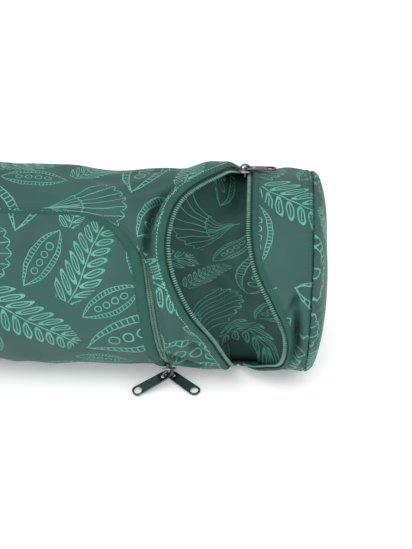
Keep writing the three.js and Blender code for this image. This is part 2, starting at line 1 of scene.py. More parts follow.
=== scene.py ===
# A yoga mat bag lying on its side: a round printed cloth tube with domed ends, a long zipped flap
# and an open zipped pocket at its right-hand end.
# Shapes are worked out in millimetres about the bag's axis and put into the frame in metres.
# A place on the cloth is x along the bag and an angle round it, in degrees: 0 faces the viewer,
# 90 is the top and -90 the underside.

import json
import math

import bmesh
import bpy
import numpy as np
from mathutils import Matrix, Vector


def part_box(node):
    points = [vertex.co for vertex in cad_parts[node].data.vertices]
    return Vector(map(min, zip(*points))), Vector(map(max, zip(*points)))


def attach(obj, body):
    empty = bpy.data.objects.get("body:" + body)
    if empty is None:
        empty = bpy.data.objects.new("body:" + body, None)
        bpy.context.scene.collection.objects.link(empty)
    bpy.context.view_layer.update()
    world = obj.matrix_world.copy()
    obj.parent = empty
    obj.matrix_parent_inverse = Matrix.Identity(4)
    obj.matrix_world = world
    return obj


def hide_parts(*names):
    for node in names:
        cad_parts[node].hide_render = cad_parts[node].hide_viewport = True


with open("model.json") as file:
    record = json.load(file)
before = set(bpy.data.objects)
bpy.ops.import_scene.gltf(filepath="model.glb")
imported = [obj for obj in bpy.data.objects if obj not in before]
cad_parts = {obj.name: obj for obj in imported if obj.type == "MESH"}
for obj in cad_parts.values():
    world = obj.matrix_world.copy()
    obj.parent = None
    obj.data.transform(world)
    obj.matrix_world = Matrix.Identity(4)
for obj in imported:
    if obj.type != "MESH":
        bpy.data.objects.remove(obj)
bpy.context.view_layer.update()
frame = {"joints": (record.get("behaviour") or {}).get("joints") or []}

MM = 0.001
DEG = math.pi / 180

# The bag's form, in millimetres
END_X = 325
END_RADIUS = 80
FLOOR_Z = 77
WALL = 1.6
CAP_RIM = 0.999
AXIS_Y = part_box("end_cap_right")[1].y / MM - CAP_RIM * END_RADIUS
GIRTH = 2 * math.pi * END_RADIUS
PRESS = 1.0                     # how softly the underside flattens

FLAP_LEFT = -215
FLAP_RIGHT = 150
FLAP_TOP = 63 * DEG * END_RADIUS
FLAP_LOW = -70 * DEG * END_RADIUS
FLAP_CORNER = 50
FLAP_SLANT = 8 * DEG
CORNER_Y = FLAP_TOP - FLAP_CORNER
GAP = 0.3
CHANNEL = 8
WELT_WIDTH = 7.5
WELT_THICK = 1.7
COIL_SPAN = 5.2                 # both rows of the closed coil
FLAP_TAPE_WIDTH = 6

POCKET_SEAM = 273
ZIP_HALF = 7.4
MOUTH_TOP = 112
MOUTH_LOW = -62
GAPE_LEFT = 51
GAPE_RIGHT = 31
LIP_TAPE_OUT = 4.2
LIP_TAPE_IN = 3
LIP_COIL_PITCH = 1.9
LIP_BINDING = 3.6
LIP_STITCH_SPAN = (108, -58)
POCKET_DEPTH = 40
POCKET_MARGIN = 9
HOOD_REACH = 30
HOOD_RISE = 7
HOOD_GROWS = (55, 115)          # angles between which the hood's reach doubles
HOOD_TOP = (70, 100)
HOOD_SPAN = (20, 55), (112, 150)
HOOD_VALLEY = 9
VALLEY_SPAN = (32, 50), (70, 98)
VALLEY_AT = 0.8                 # the valley's place and width, as shares of the hood's reach
VALLEY_WIDTH = 0.17
SEAM_SHADE = 0.45               # how much painted shade a turned-in edge gets for each millimetre
ZIP_LIFT = -3.6                 # the zips' upper face, below the cloth's
COIL_LIFT = -2.0                # the flap's closed coil, which rides higher beside the welt
LINING_DEEP = ZIP_LIFT - 3.4    # the pocket's inner cloth under the zip, and where it is sewn on
LINING_SEWN = -2.6
DOME_RISE = 14
HEM_TURN = 1.5                  # how far a cut edge turns down, and over what distance
HEM_REACH = 1.2
NARROW_SPAN = (165, 225)        # distances from the hinge between which the flap's welt and hem narrow

PULL_WIDTH = 9
PULL_THICK = 1.6
EYE_BAR = 2
PULL_RIM = 1.3
ARCH_INNER = 2.6
ARCH_OUTER = 4.1
SLIDER_THICK = 1.6
SHIELD_SIDE = [(-5.5, -2.6), (-4.6, -3.4), (-1.0, -3.6), (2.2, -4.0), (4.4, -4.0), (5.5, -2.9)]
KEEL_DROP = 2.4

# Radius along the bag, as shares of half its length and of the end radius
SECTIONS = [
    (-1.0, 1.0), (-0.9, 0.985), (-0.5, 0.975), (0.0, 0.975), (0.3, 0.982), (0.45, 0.985), (0.62, 0.976),
    (0.75, 0.985), (0.92, 1.0), (1.0, 1.0),
]

# Outline of the open mouth from its top end down: share of the arc, shares of the left and right gapes
MOUTH = [
    (0.0, 0.0, 0.0), (0.09, 0.22, 0.0), (0.15, 0.53, 0.0), (0.24, 0.87, 0.0), (0.35, 1.0, 0.03),
    (0.45, 0.96, 0.2), (0.56, 0.76, 0.62), (0.66, 0.48, 0.94), (0.74, 0.28, 1.0), (0.83, 0.12, 0.86),
    (0.91, 0.03, 0.45), (1.0, 0.0, 0.0),
]

# Dents: share of half the length, angle, then depth, length and girth as shares of the radius
DENTS = [
    (0.523, 108, 0.07, 0.2, 0.5),
    (0.735, -18, 0.075, 0.16, 0.3),
    (0.97, 4, 0.045, 0.09, 0.4),
    (0.3, 22, 0.02, 0.9, 0.35),
    (-0.35, 100, 0.03, 0.4, 0.55),
    (-0.6, 10, 0.025, 0.5, 0.4),
    (0.1, 170, 0.035, 0.35, 0.5),
    (0.75, 170, 0.03, 0.4, 0.4),
    (-0.78, 75, 0.025, 0.4, 0.5),
]

# Creases: x, angle, lean from the bag's length in degrees, half length, half width, depth
CREASES = [
    (316, -6, 88, 28, 2.6, 6.2),
    (311, 16, 62, 15, 2.2, 2.8),
    (320, -14, 98, 18, 2.0, 1.8),
    (290, 75, 80, 20, 4.0, 0.7),
    (231, -37, -45, 18, 3.2, 6.0),
    (240, -22, -58, 16, 3.0, 3.2),
    (228, -8, 76, 20, 3.4, 2.0),
    (216, 24, 70, 24, 4.0, 1.2),
    (178, 78, 14, 34, 5.0, 1.6),
    (150, 96, -12, 40, 7.0, 1.4),
    (205, 108, 35, 26, 5.0, 1.6),
    (120, 30, 18, 60, 12.0, 0.9),
    (60, -20, -15, 70, 12.0, 0.9),
    (-60, 20, 12, 80, 14.0, 1.1),
    (-180, -15, -20, 60, 12.0, 1.2),
    (-300, 40, 82, 30, 4.0, 1.8),
    (-296, 150, 80, 34, 4.0, 1.8),
    (300, 160, 84, 34, 4.0, 1.8),
    (240, 150, 60, 30, 6.0, 1.6),
    (-40, 120, 8, 90, 9.0, 1.8),
    (-150, 165, -10, 80, 9.0, 1.8),
    (90, 150, -14, 70, 9.0, 1.8),
]


def smoothstep(low, high, value):
    t = np.clip((value - low) / (high - low), 0, 1)
    return t * t * (3 - 2 * t)


def span(angle, rise, fall):
    """1 between two ranges of angles, over which it rises from 0 and falls to 0."""
    return smoothstep(*rise, angle) * (1 - smoothstep(*fall, angle))


def between(rows, column, at):
    """A smooth value between a table's rows, at places in its first column."""
    table = np.array(rows, float)
    places, values = table[:, 0], table[:, column]
    last = len(places) - 1
    index = np.searchsorted(places[1:-1], at, side="left")
    before = np.maximum(np.arange(last + 1) - 1, 0)
    after = np.minimum(np.arange(last + 1) + 1, last)
    slope = (values[after] - values[before]) / (places[after] - places[before])
    width = places[index + 1] - places[index]
    t = np.clip((at - places[index]) / width, 0, 1)
    straight = values[index] + (values[index + 1] - values[index]) * t * t * (3 - 2 * t)
    return straight + t * (1 - t) * width * ((1 - t) * slope[index] - t * slope[index + 1])


def wrapped(angle):
    return (angle + 540) % 360 - 180


def mouth_share(angle):
    return np.clip((MOUTH_TOP - angle) / (MOUTH_TOP - MOUTH_LOW), 0, 1)


def left_lip(angle):
    return POCKET_SEAM - ZIP_HALF - GAPE_LEFT * between(MOUTH, 1, mouth_share(angle))


def right_lip(angle):
    return POCKET_SEAM + ZIP_HALF + GAPE_RIGHT * between(MOUTH, 2, mouth_share(angle))


def hood_share(x, angle):
    """How far a place lies from the left lip, as a share of the hood's reach there."""
    return (x - left_lip(angle)) / (HOOD_REACH * (0.5 + 0.5 * smoothstep(*HOOD_GROWS, angle)))


def hood_valley(x, angle):
    """1 along the bottom of the valley behind the hood."""
    across = (hood_share(x, angle) + VALLEY_AT) / VALLEY_WIDTH
    return span(angle, *VALLEY_SPAN) * np.exp(-(across ** 2))


def hood_form(x, angle):
    """The rise of the folded cloth behind the left lip, which is broader near the top, and its valley."""
    share = hood_share(x, angle)
    top = smoothstep(*HOOD_TOP, angle)
    roll = smoothstep(-0.7 - 0.8 * top, -0.35 - 0.25 * top, share)
    ends = span(angle, *HOOD_SPAN)
    fade = 1 - smoothstep(POCKET_SEAM - 2 * ZIP_HALF, POCKET_SEAM, x)
    return HOOD_RISE * roll * ends * fade - HOOD_VALLEY * hood_valley(x, angle)


def waves(seed, count, shortest, longest):
    """Directions, wave numbers and phases of a few gentle waves in the cloth."""
    draw = np.random.default_rng(seed)
    length = draw.uniform(shortest, longest, count)
    turn = draw.uniform(0, math.pi, count)
    around = np.round(np.sin(turn) * GIRTH / length)
    return np.cos(turn) * 2 * math.pi / length, around, draw.uniform(0, 2 * math.pi, count)


RUMPLE = waves(seed=11, count=26, shortest=28, longest=110)
RUMPLE_HEIGHT = 0.24
CREASE_BEND = 0.004
RIDGE_AT = 2.1                  # the ridges' place, width and height, as shares of their crease's own
RIDGE_WIDTH = 1.1
RIDGE_HEIGHT = 0.4
SHADED_FROM = 1.2               # the depth where a fold's painted shade begins, and how much more is darkest
SHADED_OVER = 3.6
PUCKERS = 46                    # number round an end seam, reach from it and height
PUCKER_REACH = 9
PUCKER_HEIGHT = 0.45


def each_crease(x, angle):
    """Each crease's depth at a place, its trough and the ridges beside it."""
    for place, at, lean, half_length, half_width, depth in CREASES:
        du = x - place
        dv = wrapped(angle - at) * DEG * END_RADIUS
        along = du * math.cos(lean * DEG) + dv * math.sin(lean * DEG)
        across = -du * math.sin(lean * DEG) + dv * math.cos(lean * DEG)
        bend = across - CREASE_BEND * along * along
        fade = np.exp(-((along / half_length) ** 2))
        trough = np.exp(-((bend / half_width) ** 2))
        off_ridge = (np.abs(bend) - RIDGE_AT * half_width) / (RIDGE_WIDTH * half_width)
        ridge = np.exp(-(off_ridge ** 2))
        yield depth * fade, trough, ridge


def fold_shade(x, angle):
    """Painted shade in folds and the hood's valley: 0 on open cloth to 1 at the bottom of a deep fold."""
    total = 1.1 * hood_valley(x, wrapped(angle))
    for depth, trough, _ in each_crease(x, angle):
        total = total + np.maximum(depth - SHADED_FROM, 0) * trough / SHADED_OVER
    return np.clip(total, 0, 1)


def turned_in(lift):
    """How deep an edge lies that is turned in at a seam, and 0 for pieces that lie deeper than the cloth; it
    sets the painted shade along seams and hems.
    """
    lift = np.asarray(lift)
    return np.where(lift > -WALL, np.maximum(-lift, 0), 0)


def creases(x, angle):
    """Folds and gentle waves in the cloth, which lie on top of its main form."""
    total = np.zeros(np.broadcast(x, angle).shape)
    for depth, trough, ridge in each_crease(x, angle):
        total += depth * (RIDGE_HEIGHT * ridge - trough)
    for number, around, phase in zip(*RUMPLE):
        total += RUMPLE_HEIGHT * np.sin(number * x + around * angle * DEG + phase)
    near_seam = np.exp(-((END_X - np.abs(x)) / PUCKER_REACH) ** 2)
    puckers = near_seam * np.sin(PUCKERS * angle * DEG + 3 * np.sin(7 * angle * DEG))
    return total + PUCKER_HEIGHT * puckers


def radius_at(x, angle):
    radius = END_RADIUS * between(SECTIONS, 1, x / END_X)
    for along, at, depth, length, girth in DENTS:
        du = (x / END_X - along) * END_X / (length * END_RADIUS)
        dv = wrapped(angle - at) * DEG / girth
        radius = radius - END_RADIUS * depth * np.exp(-(du * du + dv * dv))
    return radius + hood_form(x, wrapped(angle))


def surface(x, angle, lift):
    """Points on the cloth, lifted outward by so much, with the underside pressed flat on the floor."""
    x, angle, lift = np.broadcast_arrays(np.asarray(x, float), angle, lift)
    radius = radius_at(x, angle) + creases(x, angle) + lift
    y = -radius * np.cos(angle * DEG)
    height = radius * np.sin(angle * DEG) + FLOOR_Z + np.minimum(lift, 0)
    pressed = 0.5 * (height + np.sqrt(height * height + PRESS * PRESS))
    return np.stack([x, y, pressed - FLOOR_Z - np.minimum(lift, 0)], axis=-1)


def to_frame(points):
    return (np.asarray(points, float) + (0, AXIS_Y, FLOOR_Z)) * MM


# Meshes


def add_mesh(name, points, faces, uv, material, replaces=(), slot=None, painted_shade=None):
    """A smooth mesh piece from points in millimetres, riding on the bag."""
    mesh = bpy.data.meshes.new(name)
    mesh.from_pydata(to_frame(points).tolist(), [], np.asarray(faces).tolist())
    layer = mesh.uv_layers.new(name="place")
    layer.data.foreach_set("uv", np.asarray(uv, np.float32).ravel())
    # The painted shade of folds and turned-in edges goes on the points, for the material
    if painted_shade is not None:
        mesh.attributes.new("painted_shade", "FLOAT", "POINT").data.foreach_set("value", painted_shade.astype(np.float32))
    return finish_piece(name, mesh, material, "bag", replaces)


def finish_piece(name, mesh, material, body, replaces):
    mesh.polygons.foreach_set("use_smooth", [True] * len(mesh.polygons))
    made = bmesh.new()
    made.from_mesh(mesh)
    bmesh.ops.recalc_face_normals(made, faces=made.faces)
    made.to_mesh(mesh)
    made.free()
    mesh.materials.append(material)
    piece = bpy.data.objects.new(name, mesh)
    bpy.context.scene.collection.objects.link(piece)
    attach(piece, body)
    if replaces:
        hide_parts(*replaces)
    return piece


def border_edges(quads, count):
    """Edges that only one face uses, in that face's direction."""
    edges = np.concatenate([quads[:, [k, (k + 1) % 4]] for k in range(4)])
    forward = edges[:, 0].astype(np.int64) * count + edges[:, 1]
    backward = edges[:, 1].astype(np.int64) * count + edges[:, 0]
    return edges[~np.isin(forward, backward)]


# Points round a cut edge: shares of the way down and of the cloth's thickness outward
RIM_CURVE = (0.22, 0.36), (0.5, 0.5), (0.78, 0.36)


def cloth(name, x, angle, outer, inner, material, ring=False, keep=None, place=None, **facts):
    """A closed piece of cloth on the bag: a grid of places with an outer and an inner lift and a
    rounded edge. With ring the columns join round the bag; keep says which cells of the grid are
    cloth; place gives the print's own places where they differ from the bag's."""
    x, angle = np.broadcast_arrays(np.asarray(x, float), np.asarray(angle, float))
    rows, columns = x.shape
    index = np.arange(rows * columns).reshape(rows, columns)
    here = index if ring else index[:, :-1]
    following = np.roll(index, -1, axis=1) if ring else index[:, 1:]
    quads = np.stack([here[:-1], following[:-1], following[1:], here[1:]], axis=-1)
    quads = quads.reshape(-1, 4) if keep is None else quads[keep]
    count = rows * columns
    top = surface(x, angle, outer).reshape(-1, 3)
    bottom = surface(x, angle, inner).reshape(-1, 3)
    edges = border_edges(quads, count)
    rim = np.unique(edges)
    inward = np.zeros((count, 3))
    weight = np.zeros(count)
    centres = top[quads].mean(axis=1)
    for k in range(4):
        np.add.at(inward, quads[:, k], centres)
        np.add.at(weight, quads[:, k], 1)
    away = top[rim] - inward[rim] / weight[rim, None]
    normal = top[rim] - bottom[rim]
    thick = np.linalg.norm(normal, axis=1, keepdims=True)
    normal = normal / thick
    away -= normal * (away * normal).sum(axis=1, keepdims=True)
    away /= np.maximum(np.linalg.norm(away, axis=1, keepdims=True), 1e-6)
    points = [top, bottom]
    middle = np.full(count, -1)
    bands = []
    for step, (share, out) in enumerate(RIM_CURVE):
        points.append(top[rim] * (1 - share) + bottom[rim] * share + away * thick * out)
        band = middle.copy()
        band[rim] = 2 * count + step * len(rim) + np.arange(len(rim))
        bands.append(band)
    chain = [np.arange(count), *bands, np.arange(count) + count]
    faces = [quads, quads[:, ::-1] + count]
    for first, second in zip(chain, chain[1:]):
        a, b = edges[:, 0], edges[:, 1]
        faces.append(np.stack([first[b], first[a], second[a], second[b]], axis=-1))
    faces = np.concatenate(faces)
    flat = np.stack([x, angle * DEG * END_RADIUS], axis=-1) if place is None else place
    flat = flat.reshape(-1, 2)
    flat = np.concatenate([flat, flat, flat[rim], flat[rim], flat[rim]]) * MM
    uv = flat[faces]
    height = uv[..., 1].max(axis=1) - uv[..., 1].min(axis=1)
    crosses = (height > GIRTH * MM / 2)[:, None] & (uv[..., 1] < 0)
    uv[..., 1] += crosses * GIRTH * MM
    # Painted shade for the material: more in folds, in the hood's valley and where an edge turns in
    shade = np.broadcast_to(fold_shade(x, angle) + SEAM_SHADE * turned_in(outer), x.shape)
    shade = np.clip(shade.reshape(-1), 0, 1)
    shade = np.concatenate([shade, shade, shade[rim], shade[rim], shade[rim]])
    used, faces = np.unique(faces, return_inverse=True)
    return add_mesh(name, np.concatenate(points)[used], faces.reshape(-1, 4), uv.reshape(-1, 2), material,
                    painted_shade=shade[used], **facts)


# Lines on the cloth, as rows of x and girth in millimetres


def flap_end(side, offset, edge_steps=60, corner_steps=26):
    """One end of the flap from the hinge up to the top edge, moved out by offset(t); side is 1 or -1."""
    centre = FLAP_RIGHT if side > 0 else FLAP_LEFT
    reach = FLAP_CORNER + offset(1.0)
    corner_x, corner_y = reach * math.cos(FLAP_SLANT), reach * math.sin(FLAP_SLANT)
    t = np.linspace(0, 1, edge_steps + 1)[:-1]
    y = FLAP_LOW + (CORNER_Y + corner_y - FLAP_LOW) * t
    fall = CORNER_Y + corner_y - y
    wider = np.array([offset(s) for s in t]) - offset(1.0)
    edge = np.stack([centre + side * (corner_x + fall * math.tan(FLAP_SLANT) + wider), y], axis=-1)
    turn = np.linspace(FLAP_SLANT, math.pi / 2, corner_steps + 1)
    radius = FLAP_CORNER + np.array([offset(1 + i / corner_steps) for i in range(corner_steps + 1)])
    corner = np.stack([centre + side * radius * np.cos(turn), CORNER_Y + radius * np.sin(turn)], axis=-1)
    return np.concatenate([edge, corner])


def flap_line(offset, top_steps=150):
    """The whole zipped edge of the flap, from its left hinge end round to the right one."""
    right, left = flap_end(1, offset), flap_end(-1, offset)
    top_y = right[-1, 1]
    x = np.linspace(FLAP_LEFT, FLAP_RIGHT, top_steps + 1)[1:-1]
    top = np.stack([x, np.full(len(x), top_y)], axis=-1)
    return np.concatenate([left, top, right[::-1]])


def channel_offset(t):
    return GAP + (CHANNEL - GAP) * (1 - smoothstep(0.72, 1.45, t))


def lip_line(lip, top=MOUTH_TOP - 0.5, low=MOUTH_LOW + 0.5, steps=150):
    angle = np.linspace(top, low, steps + 1)
    return np.stack([lip(angle), angle * DEG * END_RADIUS], axis=-1)


def distances(line):
    """How far along a line each of its points lies."""
    return np.concatenate([[0], np.cumsum(np.linalg.norm(np.diff(line, axis=0), axis=1))])


def line_normals(line):
    along = np.gradient(line, axis=0)
    normal = np.stack([-along[:, 1], along[:, 0]], axis=-1)
    return normal / np.linalg.norm(normal, axis=1, keepdims=True)


def moved(line, offset):
    return line + line_normals(line) * np.asarray(offset, float).reshape(-1, 1)


def ribbon(name, line, offsets, outer, inner, material, share=1.0, **facts):
    """A band along a line, with a lift for each of the offsets to the line's left."""
    shift = np.asarray(offsets, float)[None, :, None] * np.reshape(share, (-1, 1, 1))
    place = line[:, None] + line_normals(line)[:, None] * shift
    angle = place[..., 1] / END_RADIUS / DEG
    lifts = np.broadcast_to(np.asarray(outer, float), place.shape[:2])
    flat = np.stack(np.broadcast_arrays(distances(line)[:, None], shift[..., 0]), axis=-1)
    return cloth(name, place[..., 0], angle, lifts, inner, material, place=flat, **facts)


def line_frames(line, spacing, lift):
    """Evenly spaced points on a line over the cloth, with the directions along, across and out."""
    length = distances(line)
    stations = np.arange(spacing / 2, length[-1], spacing)

    def at(distance):
        flat = np.stack([np.interp(distance, length, line[:, k]) for k in range(2)], axis=-1)
        return surface(flat[:, 0], flat[:, 1] / END_RADIUS / DEG, lift), flat[:, 1] / END_RADIUS

    origin, angle = at(stations)
    along = at(stations + 0.2)[0] - at(stations - 0.2)[0]
    along /= np.linalg.norm(along, axis=1, keepdims=True)
    out = np.stack([np.zeros(len(angle)), -np.cos(angle), np.sin(angle)], axis=-1)
    across = np.cross(out, along)
    across /= np.linalg.norm(across, axis=1, keepdims=True)
    return origin, np.stack([along, across, np.cross(along, across)], axis=1)


def across_line(frames, lean=0.0):
    """Directions turned so that a bead lies across its line, leaning by an angle."""
    turned = frames.copy()
    turned[:, 0] = frames[:, 1] * math.cos(lean) + frames[:, 0] * math.sin(lean)
    turned[:, 1] = frames[:, 0] * math.cos(lean) - frames[:, 1] * math.sin(lean)
    return turned


def bead(half_long, half_wide, half_high, sides=6, rings=4):
    """A small long rounded bead, its length along its first axis."""
    points = [(-half_long, 0, 0)]
    for i in range(1, rings):
        t = -math.cos(math.pi * i / rings)
        width = math.sqrt(1 - abs(t) ** 3)
        for j in range(sides):
            turn = 2 * math.pi * j / sides
            wide, high = half_wide * width, half_high * width
            points.append((half_long * t, wide * math.cos(turn), high * math.sin(turn)))
    points.append((half_long, 0, 0))
    last = len(points) - 1
    faces = [(0, 1 + (j + 1) % sides, 1 + j, 1 + j) for j in range(sides)]
    for i in range(rings - 2):
        a, b = 1 + i * sides, 1 + (i + 1) * sides
        faces += [(a + j, a + (j + 1) % sides, b + (j + 1) % sides, b + j) for j in range(sides)]
    a = 1 + (rings - 2) * sides
    faces += [(last, a + j, a + (j + 1) % sides, a + (j + 1) % sides) for j in range(sides)]
    return np.array(points), faces


def repeated(name, shape, origins, axes, material, replaces=()):
    """Many copies of one small shape, joined as one piece."""
    points, faces = shape
    placed = origins[:, None] + np.einsum("pk,nkd->npd", points, axes)
    count = len(points)
    faces = [tuple(dict.fromkeys(face)) for face in faces]
    joined = [tuple(v + i * count for v in face) for i in range(len(origins)) for face in faces]
    mesh = bpy.data.meshes.new(name)
    mesh.from_pydata(to_frame(placed.reshape(-1, 3)).tolist(), [], joined)
    finish_piece(name, mesh, material, "bag", replaces)


# Materials


def srgb(red, green, blue):
    """A linear colour from 0 to 255 screen values."""
    shares = [value / 255 for value in (red, green, blue)]
    return tuple(s / 12.92 if s <= 0.04045 else ((s + 0.055) / 1.055) ** 2.4 for s in shares) + (1.0,)


def dimmed(colour, shade):
    return tuple(share * shade for share in colour[:3]) + (1.0,)


class Shader:
    """Short calls that add nodes to one material."""

    def __init__(self, name):
        self.material = bpy.data.materials.new(name)
        self.material.use_nodes = True
        self.tree = self.material.node_tree
        self.surface = self.tree.nodes["Principled BSDF"]

    def add(self, kind, inputs=(), output=0, **settings):
        made = self.tree.nodes.new(kind)
        for key, value in settings.items():
            setattr(made, key, value)
        for key, value in dict(inputs).items():
            self.put(made.inputs[key], value)
        return made.outputs[output]

    def put(self, socket, value):
        if isinstance(value, Term):
            value = value.socket
        if isinstance(value, bpy.types.NodeSocket):
            self.tree.links.new(value, socket)
        else:
            socket.default_value = value

    def math(self, operation, *values, clamp=False):
        return self.add("ShaderNodeMath", dict(enumerate(values)), operation=operation, use_clamp=clamp)

    def vector(self, operation, *values, output=0):
        return self.add("ShaderNodeVectorMath", dict(enumerate(values)), output, operation=operation)

    def noise(self, vector, scale, detail=2.0, roughness=0.5, output=0):
        inputs = {"Vector": vector, "Scale": scale, "Detail": detail, "Roughness": roughness}
        return self.add("ShaderNodeTexNoise", inputs, output)

    def ramp(self, value, low, high, start=0.0, end=1.0):
        inputs = {"Value": value, "From Min": low, "From Max": high, "To Min": start, "To Max": end}
        return self.add("ShaderNodeMapRange", inputs)

    def mix(self, factor, first, second):
        inputs = {0: factor, 6: first, 7: second}
        return self.add("ShaderNodeMix", inputs, 2, data_type="RGBA")

    def bump(self, height, strength, distance, normal=None):
        inputs = {"Height": height, "Strength": strength, "Distance": distance}
        if normal is not None:
            inputs["Normal"] = normal
        return self.add("ShaderNodeBump", inputs)

    def finish(self, **sockets):
        for key, value in sockets.items():
            self.put(self.surface.inputs[key.replace("_", " ").title().replace("Ior", "IOR")], value)
        return self.material

    def terms(self, vector):
        """A vector's three numbers."""
        split = self.add("ShaderNodeSeparateXYZ", {0: vector}).node
        return [Term(self, output) for output in split.outputs]


def math_method(operation, swapped=False):
    """A method that joins a term and other values by one math node."""
    def join(term, *others):
        values = (*others, term) if swapped else (term, *others)
        return Term(term.shader, term.shader.math(operation, *values))

    return join


class Term:
    """A number in a shader, for plain arithmetic. A comparison gives 1 or 0."""

    def __init__(self, shader, socket):
        self.shader = shader
        self.socket = socket

    def call(self, operation, *others):
        return math_method(operation)(self, *others)

    __add__ = math_method("ADD")
    __sub__ = math_method("SUBTRACT")
    __rsub__ = math_method("SUBTRACT", swapped=True)
    __mul__ = math_method("MULTIPLY")
    __truediv__ = math_method("DIVIDE")
    __rtruediv__ = math_method("DIVIDE", swapped=True)
    __pow__ = math_method("POWER")
    __abs__ = math_method("ABSOLUTE")
    __lt__ = math_method("LESS_THAN")
    __gt__ = math_method("GREATER_THAN")


def largest(first, *others):
    for other in others:
        first = first.call("MAXIMUM", other)
    return first


def hypotenuse(first, second):
    return (first * first + second * second).call("SQRT")


# The print: a repeat of three line motifs, drawn on the flat cloth in millimetres.
# Columns: kind (0 pod, 1 sprig, 2 fan), place along and round the cloth, turn in degrees, half length.
REPEAT = (240.0, GIRTH / 2)
MOTIFS = [
    (0, 38, 30, 24, 41),
    (2, 122, 22, 118, 32),
    (1, 200, 40, -38, 42),
    (1, 2, 92, 62, 38),
    (0, 84, 92, -52, 40),
    (2, 158, 96, 8, 34),
    (2, 40, 152, -150, 33),
    (1, 112, 158, 20, 41),
    (0, 196, 152, 78, 39),
    (0, -6, 214, -18, 42),
    (1, 74, 222, 128, 38),
    (2, 150, 216, 200, 31),
    (0, 112, 125, 0, 25),
    (1, 157, 148, 45, 25),
    (0, 165, 16, 90, 25),
    (0, 208, 92, 60, 25),
    (1, 232, 140, 75, 26),
    (0, 20, 60, 30, 25),
    (0, 40, 100, 90, 22),
    (1, 53, 200, 118, 23),
    (0, 85, 4, 120, 22),
    (0, 176, 188, 45, 22),
    (1, 0, 176, 0, 20),
    (0, 12, 244, 165, 22),
    (0, 108, 224, 90, 19),
    (1, 136, 60, 135, 20),
]
SPREADS = (0.5, 0.44, 0.8)      # how wide each kind's own ground is, as a share of its half length
INK = 0.0115                    # half the width of a drawn line, as a share of a motif's half length


def chosen_motif(shader, flat):
    """Local coordinates of the motif whose ground a place lies on; the third one is its kind."""
    found = (9.0, 9.0, 9.0)
    for kind, u, v, turn, half in MOTIFS:
        u, v, half = u * MM, v * MM, half * MM
        width, height = REPEAT[0] * MM, REPEAT[1] * MM
        near = shader.vector(
            "WRAP", flat, (u + width / 2, v + height / 2, 1.0), (u - width / 2, v - height / 2, -1.0))
        local = shader.add("ShaderNodeMapping", {
            "Vector": near, "Location": (u, v, -float(kind)), "Rotation": (0.0, 0.0, turn * DEG),
            "Scale": (half, half, 1.0)}, vector_type="TEXTURE")
        ground = shader.vector("MULTIPLY", local, (1.0, 1.0 / SPREADS[kind], 0.0))
        inside = shader.math("LESS_THAN", shader.vector("LENGTH", ground, output=1), 1.03)
        found = shader.add("ShaderNodeMix", {0: inside, 4: found, 5: local}, 1, data_type="VECTOR")
    return found


def centred_cells(value, count):
    """Places within equal cells, so many to a unit, as shares of a cell from its middle."""
    return (value * count).call("FRACT") - 0.5


def stripes(value, count, ink):
    """1 near every whole step of value times count."""
    return abs(centred_cells(value, count)) > 0.5 - ink * count


def drawn_pod(s, t):
    """A pod with a hatched rim and a row of round seeds."""
    side = abs(t)
    width = (1.0 - s * s).call("MAXIMUM", 0.0) ** 0.85 * 0.43
    inner = width * 0.64
    edge = abs(side - width) < INK
    inner_edge = abs(side - inner) < INK
    hatching = stripes(s, 9.0, INK * 1.1) * (side > inner)
    from_seed = hypotenuse(centred_cells(s, 3.4) / 3.4, t)
    seeds = (abs(from_seed - 0.1) < INK * 1.3) * (abs(s) < 0.58)
    return largest(edge, inner_edge, hatching, seeds) * largest(side < width, edge)


def drawn_sprig(s, t):
    """A bowed stem with slanting oval leaflets, each with a rib."""
    off_stem = abs(t - (s * 2.1).call("SINE") * 0.09)
    stem = off_stem < INK * 1.1
    cell = centred_cells(s - off_stem * 0.8, 4.5) / (4.5 * 0.085)
    reach = 0.185 - s * 0.055
    oval = hypotenuse(cell, (off_stem - 0.03 - reach) / reach)
    rim = abs(oval - 0.84) < 0.16
    rib = (abs(cell) < 0.13) * (oval < 0.55)
    return largest(stem, rim, rib) * (abs(s) < 0.94)


def drawn_fan(s, t):
    """A fan with a scalloped crown, an inner arc, rays and a stalk."""
    from_base = s + 0.92
    radius = hypotenuse(from_base, t)
    turn = t.call("ARCTAN2", from_base) / 0.62
    scallop = abs((turn * (4 * math.pi)).call("SINE")) * 0.1
    crown = scallop + (1.62 - turn * turn * 0.28)
    arc = abs(radius - crown) < INK * 1.15
    low_arc = abs(radius - crown * 0.45) < INK
    rays = stripes(turn + 0.125, 4.0, INK * 1.5 / (radius + 0.12)) * (radius < crown)
    stalk = (abs(t) < INK * 1.2) * (radius < 0.7)
    return largest(largest(arc, low_arc, rays) * (abs(turn) < 1.0), stalk)


def drawn_print(shader, flat):
    """1 where a line of the print is drawn."""
    wobble = shader.noise(flat, 90.0, 1.0, output=1)
    wobble = shader.vector("SUBTRACT", wobble, (0.5, 0.5, 0.5))
    wobble = shader.vector("MULTIPLY", wobble, (0.0022, 0.0022, 0.0))
    s, t, kind = shader.terms(chosen_motif(shader, shader.vector("ADD", flat, wobble)))
    pod = drawn_pod(s, t) * (kind < 0.5)
    sprig = drawn_sprig(s, t) * kind.call("COMPARE", 1.0, 0.4)
    fan = drawn_fan(s, t) * kind.call("COMPARE", 2.0, 0.4)
    return largest(pod, sprig, fan)


BASE_CLOTH = srgb(48, 87, 80)
DEEP_CLOTH = srgb(37, 73, 67)
PRINT_MINT = srgb(72, 149, 129)
PRINT_PALE = srgb(99, 162, 145)
SPECK_DARK = (0.02, 0.045, 0.04, 1.0)
# Painted shade: a near-black colour mixed into the print in folds and along turned-in seams
PAINTED_SHADE_COLOUR = (0.004, 0.014, 0.012, 1.0)
INK_COVER = 0.93
PAINTED_SHADE_COVER = 0.8


def weave_height(shader, flat, pitch):
    """The small squares of a plain weave."""
    first, second, _ = shader.terms(flat)
    return (first * (math.pi / pitch)).call("SINE") * (second * (math.pi / pitch)).call("SINE")


